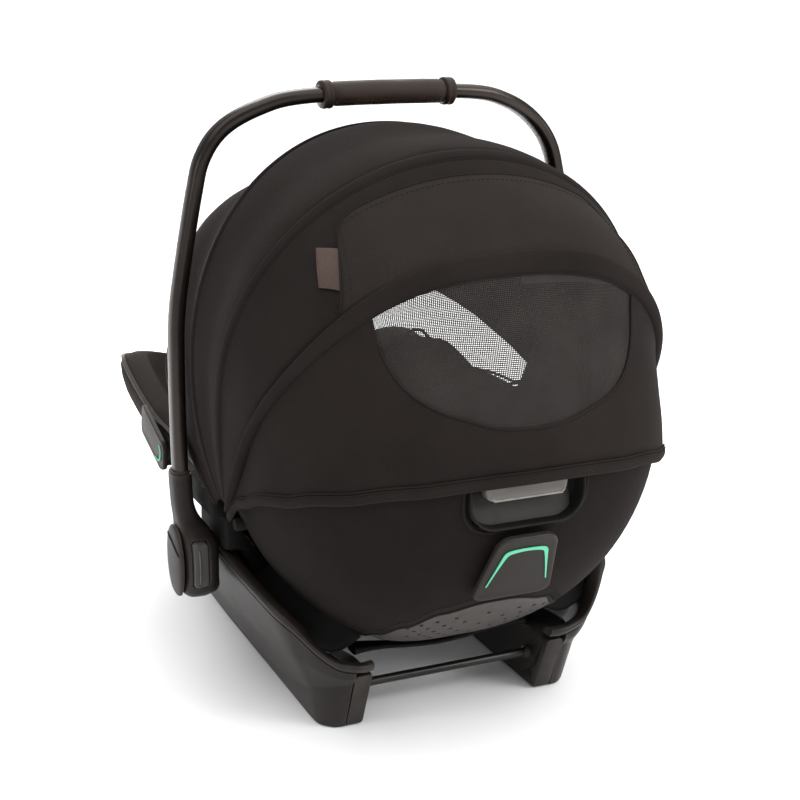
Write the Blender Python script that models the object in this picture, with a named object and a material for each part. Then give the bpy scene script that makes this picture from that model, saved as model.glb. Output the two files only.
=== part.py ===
"""Infant car seat: a hooded bucket seat on two runners, with a carry handle that folds forward.

The head end is at +Y, the foot end at -Y, +X is the child's left, and the runners stand on Z = 0.
The folding hood turns about one cross axis, the handle about another below and ahead of it.
"""
import math

import bmesh
import bpy
from mathutils import Matrix, Vector

for old in list(bpy.data.objects):
    bpy.data.objects.remove(old, do_unlink=True)

# ---------------------------------------------------------------- driving dimensions, metres
GAP = 0.0003                    # free gap between touching pieces
SIDES = (("left", 1.0), ("right", -1.0))

HUB_Y, HUB_Z = 0.030, 0.132     # handle pivot axis, along X
HOOD_Y, HOOD_Z = 0.095, 0.180   # hood pivot axis, along X

# Tub: the lower half of a rounded box-like bowl, measured from its widest level
TUB_Y, TUB_Z = 0.080, 0.290
TUB_HALF_WIDTH = 0.190
TUB_REAR = 0.2400
TUB_FOOT = 0.4580
TUB_DEPTH = 0.235
REAR_SQUARENESS = 3.1
FOOT_SQUARENESS = 10.0
FOOT_FLARE = 0.03               # share of width gained at the foot end
FOOT_DIP = 0.030                # the rim is this much lower across the middle of the foot end
TUB_WALL = 0.004
LINER_INSET = 0.0172             # inner face of the foam
SEAT_INSET = 0.0268              # inner face of the padded cover
INSERT_INSET = 0.0425            # upper face of the infant insert
LAYER_GAP = 0.0024              # free gap between the nested layers of the tub
COVER_OUT = 0.0020              # the fabric outside the tub starts this far off it
COVER_THICK = 0.0026
RIM = ((-0.345, 0.252), (-0.170, 0.205), (0.000, 0.185), (0.095, 0.225), (0.230, 0.300), (0.320, 0.312))

# Hood: cross arches at tilts from vertical, positive to the rear. Each has its half width, its height,
# the height of its widest place and the exponent of the superellipse above that place
HOOD_ARCHES = (
    (-60.0, 0.1985, 0.3640, 0.120, 2.25),
    (-43.0, 0.2010, 0.3680, 0.120, 2.26),
    (-28.0, 0.2025, 0.3680, 0.122, 2.26),
    (-13.5, 0.2060, 0.361, 0.120, 2.06),
    (16.5, 0.2060, 0.364, 0.150, 2.02),
    (22.0, 0.2025, 0.345, 0.150, 2.08),
    (37.0, 0.2000, 0.338, 0.130, 2.25),
    (41.5, 0.1975, 0.318, 0.120, 2.25),
    (56.0, 0.1955, 0.288, 0.090, 2.40),
    (67.5, 0.1930, 0.2525, 0.060, 2.65),
)
HOOD_BASE_HALF = 0.1910         # half width at the pivots
HOOD_BASE_UP = 0.026            # the fabric starts this far from the pivot axis
HOOP_TILTS = {"front": -60.0, "mid": -13.5, "rear": 16.5}
HEM_TILT = 67.5
HOOP_WIDE, HOOP_THICK = 0.0050, 0.0024
HOOP_DEPTH = 0.0041              # a hoop's centre line lies this far inside the fabric
FABRIC = 0.0020

# Handle
TUBE_THICK, TUBE_DEEP = 0.014, 0.022
GRIP_HALF = 0.067
GRIP_THICK = 0.0228
RING_THICK = 0.0262
RING_LONG = 0.010
HANDLE_PATH = (
    (0.2135, 0.2178), (0.2135, 0.270), (0.2120, 0.326), (0.2095, 0.363), (0.2035, 0.400), (0.1885, 0.475),
    (0.1785, 0.5095), (0.1580, 0.5350), (0.1250, 0.5530), (0.0860, 0.5615), (0.0, 0.5635),
)

# Runners
FOOT_INNER_X = 0.089
SEAM_X = 0.107
RUNNER_TOP = 0.052
BAR_Z, BAR_RADIUS = 0.0355, 0.0042


# ---------------------------------------------------------------- finishes
def finish(name, colour, roughness, metallic=0.0):
    """A Principled material, made once."""
    found = bpy.data.materials.get(name)
    if found:
        return found
    made = bpy.data.materials.new(name)
    made.use_nodes = True
    shader = made.node_tree.nodes["Principled BSDF"]
    shader.inputs["Base Color"].default_value = (*colour, 1.0)
    shader.inputs["Roughness"].default_value = roughness
    shader.inputs["Metallic"].default_value = metallic
    return made


FRAME_PLASTIC = finish("frame_plastic", (0.040, 0.034, 0.030), 0.50)
SHELL_PLASTIC = finish("shell_plastic", (0.022, 0.020, 0.019), 0.55)
GREY_PLASTIC = finish("grey_plastic", (0.170, 0.160, 0.150), 0.45)
POCKET_PLASTIC = finish("pocket_plastic", (0.060, 0.056, 0.054), 0.50)
MARK_GREEN = finish("mark_green", (0.115, 0.600, 0.350), 0.45)
BUTTON_RED = finish("button_red", (0.450, 0.015, 0.012), 0.40)
HOOD_FABRIC = finish("hood_fabric", (0.026, 0.021, 0.019), 0.90)
SEAT_FABRIC = finish("seat_fabric", (0.030, 0.026, 0.024), 0.92)
SHELL_FABRIC = finish("shell_fabric", (0.020, 0.017, 0.015), 0.90)
MESH_FABRIC = finish("mesh_fabric", (0.024, 0.022, 0.021), 0.85)
WEBBING = finish("webbing", (0.016, 0.016, 0.016), 0.80)
LEATHER = finish("leather", (0.065, 0.038, 0.024), 0.55)
FOAM = finish("foam", (0.045, 0.045, 0.045), 0.95)
TUBE_METAL = finish("tube_metal", (0.120, 0.104, 0.090), 0.34, 0.85)
STEEL = finish("steel", (0.350, 0.345, 0.335), 0.30, 1.0)
DARK_STEEL = finish("dark_steel", (0.030, 0.029, 0.028), 0.35, 0.8)


# ---------------------------------------------------------------- general shape helpers
def signed_power(value, exponent):
    """value to the power exponent, with its sign kept."""
    return math.copysign(abs(value) ** exponent, value)


def superellipse(angle, half_a, half_b, exponent):
    """Point on a superellipse; an exponent of 2 is an ellipse and more is squarer."""
    a = half_a * signed_power(math.cos(angle), 2.0 / exponent)
    b = half_b * signed_power(math.sin(angle), 2.0 / exponent)
    return a, b


def eased(points, at):
    """Value at a place, read from (place, value) points with smooth steps between them."""
    if at <= points[0][0]:
        return points[0][1]
    for (x0, v0), (x1, v1) in zip(points, points[1:]):
        if at <= x1:
            t = (at - x0) / (x1 - x0)
            return v0 + (v1 - v0) * t * t * (3.0 - 2.0 * t)
    return points[-1][1]


def smooth_path(points, steps):
    """Catmull-Rom curve through the points, with a number of steps between each two."""
    points = [Vector(p) for p in points]
    ends = [2.0 * points[0] - points[1]] + points + [2.0 * points[-1] - points[-2]]
    path = []
    for p0, p1, p2, p3 in zip(ends, ends[1:], ends[2:], ends[3:]):
        for k in range(steps):
            t = k / steps
            a = 2.0 * p1
            b = (p2 - p0) * t
            c = (2.0 * p0 - 5.0 * p1 + 4.0 * p2 - p3) * t * t
            d = (3.0 * p1 - p0 - 3.0 * p2 + p3) * t * t * t
            path.append(0.5 * (a + b + c + d))
    path.append(points[-1])
    return path


def solid(name, verts, faces, material, sharp=35.0):
    """A named object from points and faces, smooth shaded, with its faces turned outward."""
    mesh = bpy.data.meshes.new(name)
    shape = bmesh.new()
    made = [shape.verts.new(v) for v in verts]
    for face in faces:
        shape.faces.new([made[i] for i in face])
    bmesh.ops.recalc_face_normals(shape, faces=shape.faces)
    shape.to_mesh(mesh)
    shape.free()
    mesh.materials.append(material)
    mesh.shade_smooth()
    mesh.set_sharp_from_angle(angle=math.radians(sharp))
    made_object = bpy.data.objects.new(name, mesh)
    bpy.context.scene.collection.objects.link(made_object)
    return made_object


def loft_faces(count, size, first=0, ring=False):
    """Quads between successive closed rings, with flat ends unless the rings close on themselves."""
    faces = []
    for i in range(count if ring else count - 1):
        a = first + i * size
        b = first + ((i + 1) % count) * size
        for j in range(size):
            k = (j + 1) % size
            faces.append((a + j, a + k, b + k, b + j))
    if not ring:
        faces.append(tuple(first + j for j in range(size)))
        faces.append(tuple(first + (count - 1) * size + j for j in range(size)))
    return faces


def loft(name, rings, material, ring=False, sharp=35.0):
    """Closed solid lofted through rings of points."""
    verts = [point for one in rings for point in one]
    return solid(name, verts, loft_faces(len(rings), len(rings[0]), ring=ring), material, sharp)


def section(half_a, half_b, exponent=2.0, count=12):
    """Closed section outline as (a, b) pairs."""
    turn = 2.0 * math.pi / count
    return [superellipse(turn * (i + 0.5), half_a, half_b, exponent) for i in range(count)]


def sweep(path, outline, side=Vector((0.0, 1.0, 0.0))):
    """Rings of an outline carried along a path; the outline's b runs along side."""
    rings = []
    for i, point in enumerate(path):
        ahead = path[min(i + 1, len(path) - 1)] - path[max(i - 1, 0)]
        across = side.cross(ahead).normalized()
        other = ahead.cross(across).normalized()
        rings.append([point + across * a + other * b for a, b in outline])
    return rings


def round_bar(start, end, radius, count=12):
    """Rings of a straight round bar."""
    start, end = Vector(start), Vector(end)
    along = (end - start).normalized()
    first = along.orthogonal().normalized()
    second = along.cross(first)
    turn = 2.0 * math.pi / count
    spokes = [first * math.cos(turn * i) * radius + second * math.sin(turn * i) * radius for i in range(count)]
    return [[start + s for s in spokes], [end + s for s in spokes]]


def domed_pad(outline, axis_map, low, high, edge):
    """Rings of a plate with rounded edges: the outline at low and high, drawn in by edge at both faces."""
    rings = []
    for level, scale_down in ((low, edge), (low + edge, 0.0), (high - edge, 0.0), (high, edge)):
        ring = []
        for a, b in outline:
            size = math.hypot(a, b)
            factor = (size - scale_down) / size
            ring.append(axis_map(a * factor, b * factor, level))
        rings.append(ring)
    return rings


def sheet(name, rows, thickness, material, skip=None):
    """Closed thin solid grown outward from a grid of points; skip(i, j) leaves a cell open."""
    wide = len(rows[0])
    verts = [point for row in rows for point in row]
    faces = []
    for i in range(len(rows) - 1):
        for j in range(wide - 1):
            if skip and skip(i, j):
                continue
            a = i * wide + j
            faces.append((a, a + 1, a + wide + 1, a + wide))
    mesh = bpy.data.meshes.new(name)
    shape = bmesh.new()
    made = [shape.verts.new(v) for v in verts]
    for face in faces:
        shape.faces.new([made[i] for i in face])
    bmesh.ops.delete(shape, geom=[v for v in shape.verts if not v.link_faces], context="VERTS")
    shape.normal_update()
    old_faces = list(shape.faces)
    grown = {v: shape.verts.new(v.co + v.normal * thickness) for v in list(shape.verts)}
    rim = [e for e in shape.edges if len(e.link_faces) == 1]
    for face in old_faces:
        shape.faces.new([grown[v] for v in face.verts])
    for edge in rim:
        one, two = edge.verts
        shape.faces.new([one, two, grown[two], grown[one]])
    bmesh.ops.recalc_face_normals(shape, faces=shape.faces)
    shape.to_mesh(mesh)
    shape.free()
    mesh.materials.append(material)
    mesh.shade_smooth()
    mesh.set_sharp_from_angle(angle=math.radians(50.0))
    made_object = bpy.data.objects.new(name, mesh)
    bpy.context.scene.collection.objects.link(made_object)
    return made_object


def place_origin(made_object, point):
    """Moves an object's origin to a point without moving its shape."""
    point = Vector(point)
    made_object.data.transform(Matrix.Translation(-point))
    made_object.location = point
    return made_object


def cutter(name, rings):
    """A closed shape that only cuts or joins others."""
    tool = loft(name, rings, FOAM)
    tool.hide_render = True
    tool.display_type = "WIRE"
    return tool


def combine(target, tool, operation="DIFFERENCE"):
    """Cuts the target with the tool, or joins the tool to it."""
    step = target.modifiers.new(operation.lower(), "BOOLEAN")
    step.object = tool
    step.operation = operation
    step.solver = "EXACT"


def rounded_outline(half_wide, low, high, corner_low, corner_high, steps=4):
    """Upright rounded rectangle as (x, z) pairs, counter-clockwise."""
    corners = (
        (half_wide - corner_low, low + corner_low, corner_low, -90.0),
        (half_wide - corner_high, high - corner_high, corner_high, 0.0),
        (-half_wide + corner_high, high - corner_high, corner_high, 90.0),
        (-half_wide + corner_low, low + corner_low, corner_low, 180.0),
    )
    points = []
    for x, z, radius, start in corners:
        for k in range(steps + 1):
            angle = math.radians(start + 90.0 * k / steps)
            points.append((x + radius * math.cos(angle), z + radius * math.sin(angle)))
    return points


# ---------------------------------------------------------------- tub, liner and covers
def tub_point(angle, drop, inset=0.0):
    """Point on the tub's bowl: angle round the plan, drop from the widest level down to the keel."""
    rearward = math.sin(angle) > 0.0
    squareness = REAR_SQUARENESS if rearward else FOOT_SQUARENESS
    length = (TUB_REAR if rearward else TUB_FOOT) - inset
    x, y = superellipse(angle, TUB_HALF_WIDTH - inset, length, squareness)
    level = math.cos(drop)
    if not rearward:
        x *= 1.0 + FOOT_FLARE * (y / TUB_FOOT) ** 2
    return Vector((x * level, TUB_Y + y * level, TUB_Z - (TUB_DEPTH - inset) * math.sin(drop)))


def rim_drop(angle, lower=0.0, inset=0.0):
    """Drop at which the bowl meets its rim height, or a height lower than that."""
    drop = 0.3
    for _ in range(6):
        edge = tub_point(angle, drop, inset)
        dip = FOOT_DIP * (1.0 - (edge.x / TUB_HALF_WIDTH) ** 2) * eased(((-0.370, 1.0), (-0.250, 0.0)), edge.y)
        rim = eased(RIM, edge.y) - dip - lower
        drop = math.asin(max(-0.3, min(0.98, (TUB_Z - rim) / (TUB_DEPTH - inset))))
    return drop


def bowl_rings(inset, lower, segments=36, rows=7):
    """Rings of the bowl from its flat keel up to the rim, at the same places for every inset."""
    keel = math.radians(78.0)
    rings = []
    for i in range(rows + 1):
        share = i / rows
        ring = []
        for j in range(segments):
            angle = 2.0 * math.pi * (j + 0.5) / segments
            rim = rim_drop(angle)
            drop = rim_drop(angle, lower) if i == rows else keel + (rim - keel) * share
            ring.append(tub_point(angle, drop, inset))
        rings.append(ring)
    return rings


def bowl(name, outer, inner, lower, material):
    """A closed bowl with a wall between two insets of the tub's surface."""
    rings = bowl_rings(outer, lower) + list(reversed(bowl_rings(inner, lower)))
    return loft(name, rings, material)


def tub_sheet(name, angles, drops, inset, thickness, material, columns, rows):
    """A skin grown outward on part of the bowl; drops(angle) gives its lower and upper drop."""
    grid = []
    for i in range(rows + 1):
        row = []
        for j in range(columns + 1):
            angle = math.radians(angles[0] + (angles[1] - angles[0]) * j / columns)
            low, high = drops(angle)
            row.append(tub_point(angle, low + (high - low) * i / rows, inset))
        grid.append(row)
    return sheet(name, grid, thickness, material)


def cover_drops(angle):
    """Lower and upper edge of the outer fabric: raised over the belly plate at the back."""
    across = abs(math.cos(angle))
    lower = math.radians(eased(((0.0, 43.0), (0.62, 46.0), (0.86, 60.0), (1.0, 60.0)), across))
    return lower, rim_drop(angle, 0.003)


def belly_drops(angle):
    """Lower and upper edge of the perforated plate, just under the fabric."""
    return math.radians(75.0), cover_drops(angle)[0] + math.radians(1.2)


def build_seat_shell():
    """Hard tub, its foam liner, the padded cover inside and the fabric and belly plate outside."""
    tub = bowl("shell_tub", 0.0, TUB_WALL, 0.0, SHELL_PLASTIC)
    liner = bowl("foam_liner", TUB_WALL + LAYER_GAP + GAP, LINER_INSET, 0.004, FOAM)
    bowl("seat_cover", LINER_INSET + LAYER_GAP, SEAT_INSET, -0.004, SEAT_FABRIC)
    skin = tub_sheet("shell_cover", (1.5, 178.5), cover_drops, -COVER_OUT, COVER_THICK, SHELL_FABRIC, 30, 5)
    tub_sheet("belly_plate", (50.0, 130.0), belly_drops, -COVER_OUT, 0.0022, SHELL_PLASTIC, 12, 5)
    return tub, liner, skin


def build_insert_and_head_support():
    """Crescent insert in the bowl of the seat, and the horseshoe cushion round the head."""
    def drops(angle):
        return math.radians(74.0), min(math.radians(62.0), rim_drop(angle, 0.100, INSERT_INSET))

    insert_thick = INSERT_INSET - SEAT_INSET - 0.0020
    tub_sheet("infant_insert", (-20.0, 200.0), drops, INSERT_INSET, insert_thick, SEAT_FABRIC, 24, 5)
    path = []
    for k in range(19):
        angle = math.radians(-30.0 + 240.0 * k / 18)
        x, y = superellipse(angle, 0.108, 0.150, 2.4)
        path.append(Vector((x, TUB_Y + y, eased(((-0.080, 0.236), (0.145, 0.314)), y))))
    rings = sweep(path, section(0.017, 0.045, 2.6, 14), Vector((0.0, 0.0, 1.0)))
    loft("head_support", rings, SEAT_FABRIC)


# ---------------------------------------------------------------- release pocket and handle
POCKET_HALF = 0.0535
POCKET_LOW, POCKET_HIGH = 0.2290, 0.2930
POCKET_FACE = 0.3250            # rear face of the pocket's rim
POCKET_DEEP = 0.0170


def pocket_outline(grow):
    """Pocket outline, grown on all sides: round lower corners and small upper ones."""
    low, high = POCKET_LOW - grow, POCKET_HIGH + grow
    return rounded_outline(POCKET_HALF + grow, low, high, 0.019 + grow, 0.006)


def build_release(tub, liner, skin):
    """Rear pocket with a pull-up release handle in it."""
    opening = [[Vector((x, y, z)) for x, z in pocket_outline(0.0005)] for y in (0.3050, 0.3450)]
    tool = cutter("pocket_cutter", opening)
    for target in (tub, liner, skin):
        combine(target, tool)
    outer = pocket_outline(0.0)
    inner = pocket_outline(-0.0022)
    back = POCKET_FACE - POCKET_DEEP
    floor = back + 0.0018
    rings = []
    for outline, y in ((outer, back), (outer, POCKET_FACE), (inner, POCKET_FACE), (inner, floor)):
        rings.append([Vector((x, y, z)) for x, z in outline])
    loft("release_pocket", rings, POCKET_PLASTIC)
    lever = rounded_outline(0.0390, 0.2540, 0.2780, 0.010, 0.004)
    middle = 0.5 * (0.2540 + 0.2780)
    outline = [(x, z - middle) for x, z in lever]

    def lie(a, b, level):
        return Vector((a, level, middle + b))

    handle = loft("release_handle", domed_pad(outline, lie, 0.3115, 0.3235, 0.0025), GREY_PLASTIC)
    place_origin(handle, (0.0, 0.3175, middle))


# ---------------------------------------------------------------- belt guides
def belt_hook(name, along, across, out, centre, long_low, long_high, tall, reach, root):
    """A hooked plate that stands off the tub, with a root at its lower edge, open at the top.

    along, across and out are its long, upright and outward directions.
    """
    corner = 0.010
    half_low, half_high = 0.5 * long_low, 0.5 * long_high
    flat = rounded_outline(half_high, -0.5 * tall, 0.5 * tall, corner, corner)
    outline = []
    for a, b in flat:
        share = 0.5 - b / tall
        outline.append((a * (1.0 + share * (half_low / half_high - 1.0)), b))

    def lie(a, b, level):
        return centre + along * a + across * b + out * level

    plate = loft(name, domed_pad(outline, lie, -0.0025, 0.0025, 0.0012), FRAME_PLASTIC)
    bridge = []
    for level in (-reach, 0.0005):
        ring = []
        for a, b in rounded_outline(half_low - 0.008, -0.5 * tall + 0.002, -0.5 * tall + root, 0.003, 0.003, 2):
            ring.append(centre + along * a + across * b + out * level)
        bridge.append(ring)
    combine(plate, cutter(name + "_root", bridge), "UNION")
    return plate


def belt_mark(name, along, across, out, centre, path, material=MARK_GREEN):
    """A thin coloured line laid on a belt guide's face."""
    lift = 0.0025 + GAP
    width = 0.0011
    points = smooth_path([(a, b, 0.0) for a, b in path], 4)
    low = []
    high = []
    for i, point in enumerate(points):
        ahead = points[min(i + 1, len(points) - 1)] - points[max(i - 1, 0)]
        normal = Vector((-ahead.y, ahead.x, 0.0)).normalized() * width
        low.append(point - normal)
        high.append(point + normal)
    rings = []
    for one, two in zip(low, high):
        ring = []
        for flat, level in ((one, lift), (two, lift), (two, lift + 0.0006), (one, lift + 0.0006)):
            ring.append(centre + along * flat.x + across * flat.y + out * level)
        rings.append(ring)
    return loft(name, rings, material)


def build_belt_guides(tub_space, cover_space):
    """Rear guide under the pocket and one guide on each side of the foot end."""
    slope = Vector((0.0, 0.0305, 0.0600)).normalized()
    across_x = Vector((-1.0, 0.0, 0.0))
    facing = slope.cross(across_x).normalized()
    facing = facing if facing.y > 0.0 else -facing
    centre = Vector((0.0, 0.3120, 0.1890))
    hook = belt_hook("belt_guide_rear", Vector((1, 0, 0)), slope, facing, centre, 0.074, 0.056, 0.062, 0.022, 0.010)
    combine(hook, cover_space)
    line = ((-0.0295, -0.018), (-0.0235, 0.006), (-0.0195, 0.0165), (-0.012, 0.0205), (0.0, 0.0215))
    line += tuple((-a, b) for a, b in reversed(line[:-1]))
    belt_mark("belt_mark_rear", Vector((1, 0, 0)), slope, facing, centre, line)
    for side, sign in SIDES:
        along = Vector((0.0, 1.0, -0.30)).normalized()
        out = Vector((sign, 0.0, 0.0))
        up = Vector((0.0, 0.30, 1.0)).normalized()
        middle = Vector((sign * 0.1955, -0.160, 0.197))
        hook = belt_hook("belt_guide_" + side, along, up, out, middle, 0.094, 0.086, 0.034, 0.040, 0.009)
        combine(hook, tub_space)
        bar = ((0.024, -0.010), (0.033, -0.009), (0.0375, -0.004), (0.0375, 0.004), (0.033, 0.010))
        belt_mark("belt_mark_" + side, along, up, out, middle, bar)


# ---------------------------------------------------------------- harness
def ribbon(path, width, thick):
    """Rings of flat webbing along a path, lying across X."""
    outline = [(-0.5 * thick, -0.5 * width), (0.5 * thick, -0.5 * width),
               (0.5 * thick, 0.5 * width), (-0.5 * thick, 0.5 * width)]
    return sweep(path, outline, Vector((1.0, 0.0, 0.0)))


def seat_height(x, y, inset=INSERT_INSET):
    """Height of the insert's upper face at a place in plan."""
    ahead = y < TUB_Y
    length = (TUB_FOOT if ahead else TUB_REAR) - inset
    squareness = FOOT_SQUARENESS if ahead else REAR_SQUARENESS
    out = (abs(x) / (TUB_HALF_WIDTH - inset)) ** squareness + (abs(y - TUB_Y) / length) ** squareness
    level = min(0.999, out ** (1.0 / squareness))
    return TUB_Z - (TUB_DEPTH - inset) * math.sqrt(1.0 - level * level)


def lying_path(points, lift):
    """Path over the seat through plan points (x, y), lifted square off it at the outer edge of a shoulder pad."""
    edge = 0.5 * PAD_WIDE
    base = smooth_path([(x, y, seat_height(abs(x) + edge, y)) for x, y in points], 3)
    path = []
    for i, point in enumerate(base):
        ahead = base[min(i + 1, len(base) - 1)] - base[max(i - 1, 0)]
        away = Vector((1.0, 0.0, 0.0)).cross(ahead).normalized()
        path.append(point + away * math.copysign(lift, away.z))
    return path


def block(name, centre, size, tilt, material, corner=0.004, edge=0.002, at=0.0):
    """A rounded block turned about X, moved along its own upward direction; size is (x, y, z)."""
    turn = Matrix.Rotation(math.radians(tilt), 4, "X")
    outline = rounded_outline(0.5 * size[0], -0.5 * size[1], 0.5 * size[1], corner, corner, 3)
    centre = Vector(centre)

    def lie(a, b, level):
        return centre + turn @ Vector((a, b, level + at))

    return loft(name, domed_pad(outline, lie, -0.5 * size[2], 0.5 * size[2], edge), material)


def set_button(name, body, centre, size, tilt, at, material, travel=0.0030):
    """A push button with its centre a distance above the body's, and the pocket in the body that it sinks into."""
    button = block(name, centre, size, tilt, material, 0.004, 0.0015, at)
    place_origin(button, centre)
    room = (size[0] + 0.0010, size[1] + 0.0010, size[2] + 2.0 * travel)
    tool = block(name + "_pocket", centre, room, tilt, FOAM, 0.0045, 0.0001, at)
    tool.hide_render = True
    tool.display_type = "WIRE"
    combine(body, tool)


PAD_WIDE, PAD_THICK = 0.044, 0.0104
STRAP_WIDE, STRAP_THICK = 0.030, 0.0016
STRAP_LIFT = 0.0048
PAD_LIFT = STRAP_LIFT + 0.5 * (PAD_THICK + STRAP_THICK) + 0.0030


def build_harness():
    """Shoulder, crotch and adjuster webbing with pads, clip, buckle and adjuster."""
    for side, sign in SIDES:
        route = ((sign * 0.047, 0.238), (sign * 0.047, 0.180), (sign * 0.046, 0.110), (sign * 0.038, 0.040),
                 (sign * 0.024, -0.012))
        loft("shoulder_strap_" + side, ribbon(lying_path(route, STRAP_LIFT), STRAP_WIDE, STRAP_THICK), WEBBING)
        pad_path = lying_path(((sign * 0.047, 0.215), (sign * 0.047, 0.170), (sign * 0.0465, 0.125)), PAD_LIFT)
        outline = section(0.5 * PAD_THICK, 0.5 * PAD_WIDE, 4.0, 16)
        loft("shoulder_pad_" + side, sweep(pad_path, outline, Vector((1.0, 0.0, 0.0))), SEAT_FABRIC)
    lift = seat_height(0.0, -0.045)
    block("crotch_pad", (0.0, -0.078, lift + 0.0075), (0.056, 0.070, 0.0100), -4.0, SEAT_FABRIC, 0.012, 0.003)
    strap = [Vector((0.0, y, lift + 0.0165)) for y in (-0.112, -0.095, -0.068)]
    loft("crotch_strap", ribbon(strap, STRAP_WIDE, STRAP_THICK), WEBBING)
    centre = (0.0, -0.0410, lift + 0.0230)
    buckle = block("buckle_body", centre, (0.044, 0.050, 0.0180), 0.0, FRAME_PLASTIC, 0.010, 0.004)
    set_button("buckle_button", buckle, centre, (0.022, 0.018, 0.0060), 0.0, 0.0090, BUTTON_RED)
    clip = seat_height(0.042 + 0.5 * PAD_WIDE, 0.075)
    block("chest_clip", (0.0, 0.0750, clip + 0.0120), (0.112, 0.034, 0.0070), 3.0, FRAME_PLASTIC, 0.010, 0.002)
    line = [Vector((0.0, y, seat_height(0.0, y, SEAT_INSET) + 0.0050)) for y in (-0.215, -0.185, -0.155, -0.125)]
    loft("adjuster_strap", ribbon(line, 0.024, STRAP_THICK), WEBBING)
    ahead, behind = (seat_height(0.0, y, SEAT_INSET) for y in (-0.262, -0.222))
    tilt = math.degrees(math.atan2(behind - ahead, 0.040))
    centre = (0.0, -0.2420, 0.5 * (ahead + behind) + 0.0085)
    bezel = block("adjuster_bezel", centre, (0.046, 0.038, 0.0100), tilt, FRAME_PLASTIC, 0.010, 0.002)
    set_button("adjuster_button", bezel, centre, (0.022, 0.022, 0.0050), tilt, 0.0048, GREY_PLASTIC)


# ---------------------------------------------------------------- runners and their bars
CASING = 0.0115                 # depth of a runner's side wall
CAP_TALL = 0.0105

# Side wall stations from the front tip back to the foot's corner:
# (y, ground z, ground x, crease z, crease x, top z, top x)
WALL_STATIONS = (
    (-0.262, 0.014, 0.1180, 0.024, 0.1220, 0.052, 0.1320),
    (-0.235, 0.002, 0.1240, 0.016, 0.1280, 0.070, 0.1420),
    (-0.190, 0.000, 0.1280, 0.012, 0.1320, 0.090, 0.1550),
    (-0.110, 0.000, 0.1300, 0.010, 0.1340, 0.115, 0.1720),
    (-0.030, 0.000, 0.1300, 0.010, 0.1340, 0.134, 0.1835),
    (0.045, 0.000, 0.1300, 0.014, 0.1345, 0.139, 0.1850),
    (0.110, 0.000, 0.1300, 0.026, 0.1370, 0.131, 0.1800),
)
# Corner stations round to the foot's rear face: ground, crease, top, turn from sideways to rearward
CORNER_STATIONS = (
    ((0.1300, 0.150, 0.0), (0.1365, 0.158, 0.036), (0.1735, 0.168, 0.1230), 12.0),
    ((0.1280, 0.166, 0.0), (0.1335, 0.176, 0.043), (0.1600, 0.188, 0.1110), 35.0),
    ((0.1210, 0.175, 0.0), (0.1260, 0.190, 0.048), (0.1440, 0.202, 0.0930), 60.0),
    ((0.1150, 0.179, 0.0), (0.1160, 0.199, 0.051), (0.1270, 0.212, 0.0800), 80.0),
    ((0.1075, 0.180, 0.0), (0.1075, 0.201, 0.052), (0.1075, 0.216, 0.0745), 90.0),
)
# The cap strip runs on over the inner casing
CAP_STATIONS = (((0.0985, 0.2165, 0.0738), 90.0), ((0.0905, 0.2130, 0.0730), 90.0))


def wall_stations():
    """Ground point, crease, top edge and inward direction along a runner's side wall."""
    stations = []
    for y, z0, x0, z1, x1, z2, x2 in WALL_STATIONS:
        stations.append((Vector((x0, y, z0)), Vector((x1, y, z1)), Vector((x2, y, z2)), 0.0))
    stations += [(Vector(a), Vector(b), Vector(c), turn) for a, b, c, turn in CORNER_STATIONS]
    return stations


def inward_of(turn):
    """Direction into the runner after turning round the corner by an angle in degrees."""
    angle = math.radians(turn)
    return Vector((-math.cos(angle), -math.sin(angle), 0.0))


def mirrored(ring, sign):
    """Ring of points moved to the left (1) or right (-1) side."""
    return [Vector((sign * p.x, p.y, p.z)) for p in ring]


def outer_casing_rings(sign):
    """Sections of the flared side wall and the outer half of the runner under it."""
    rings = []
    for ground, crease, top, turn in wall_stations():
        inward = inward_of(turn)
        rise = (top - crease).normalized()
        under = top - rise * CAP_TALL
        share = (0.040 - crease.z) / (top.z - crease.z)
        knee = crease + (top - crease) * max(0.25, share) + inward * CASING
        anchor = Vector((SEAM_X + GAP, min(ground.y, 0.146 + 0.1 * (ground.y - 0.146)), ground.z))
        if turn > 85.0:
            anchor.x = ground.x
            knee.x = ground.x
        shelf = Vector((anchor.x, anchor.y, min(knee.z - 0.001, RUNNER_TOP - 0.006)))
        rings.append(mirrored((ground, crease, under, under + inward * CASING, knee, shelf, anchor), sign))
    return rings


def cap_rings(sign):
    """Sections of the rounded strip along the top of the side wall."""
    tops = [(top, (top - crease).normalized(), turn) for _, crease, top, turn in wall_stations()]
    tops += [(Vector(top), Vector((0.0, 0.55, 0.835)), turn) for top, turn in CAP_STATIONS]
    rings = []
    for top, rise, turn in tops:
        inward = inward_of(turn)
        lip = top - rise * (CAP_TALL - 2.0 * GAP)
        crown = top + inward * (0.5 * CASING) + rise * 0.0014
        ring = (lip, top - rise * 0.0025, top + inward * 0.0028, crown, top + inward * (CASING - 0.0028),
                top + inward * CASING - rise * 0.0025, lip + inward * CASING)
        rings.append(mirrored(ring, sign))
    return rings


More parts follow.
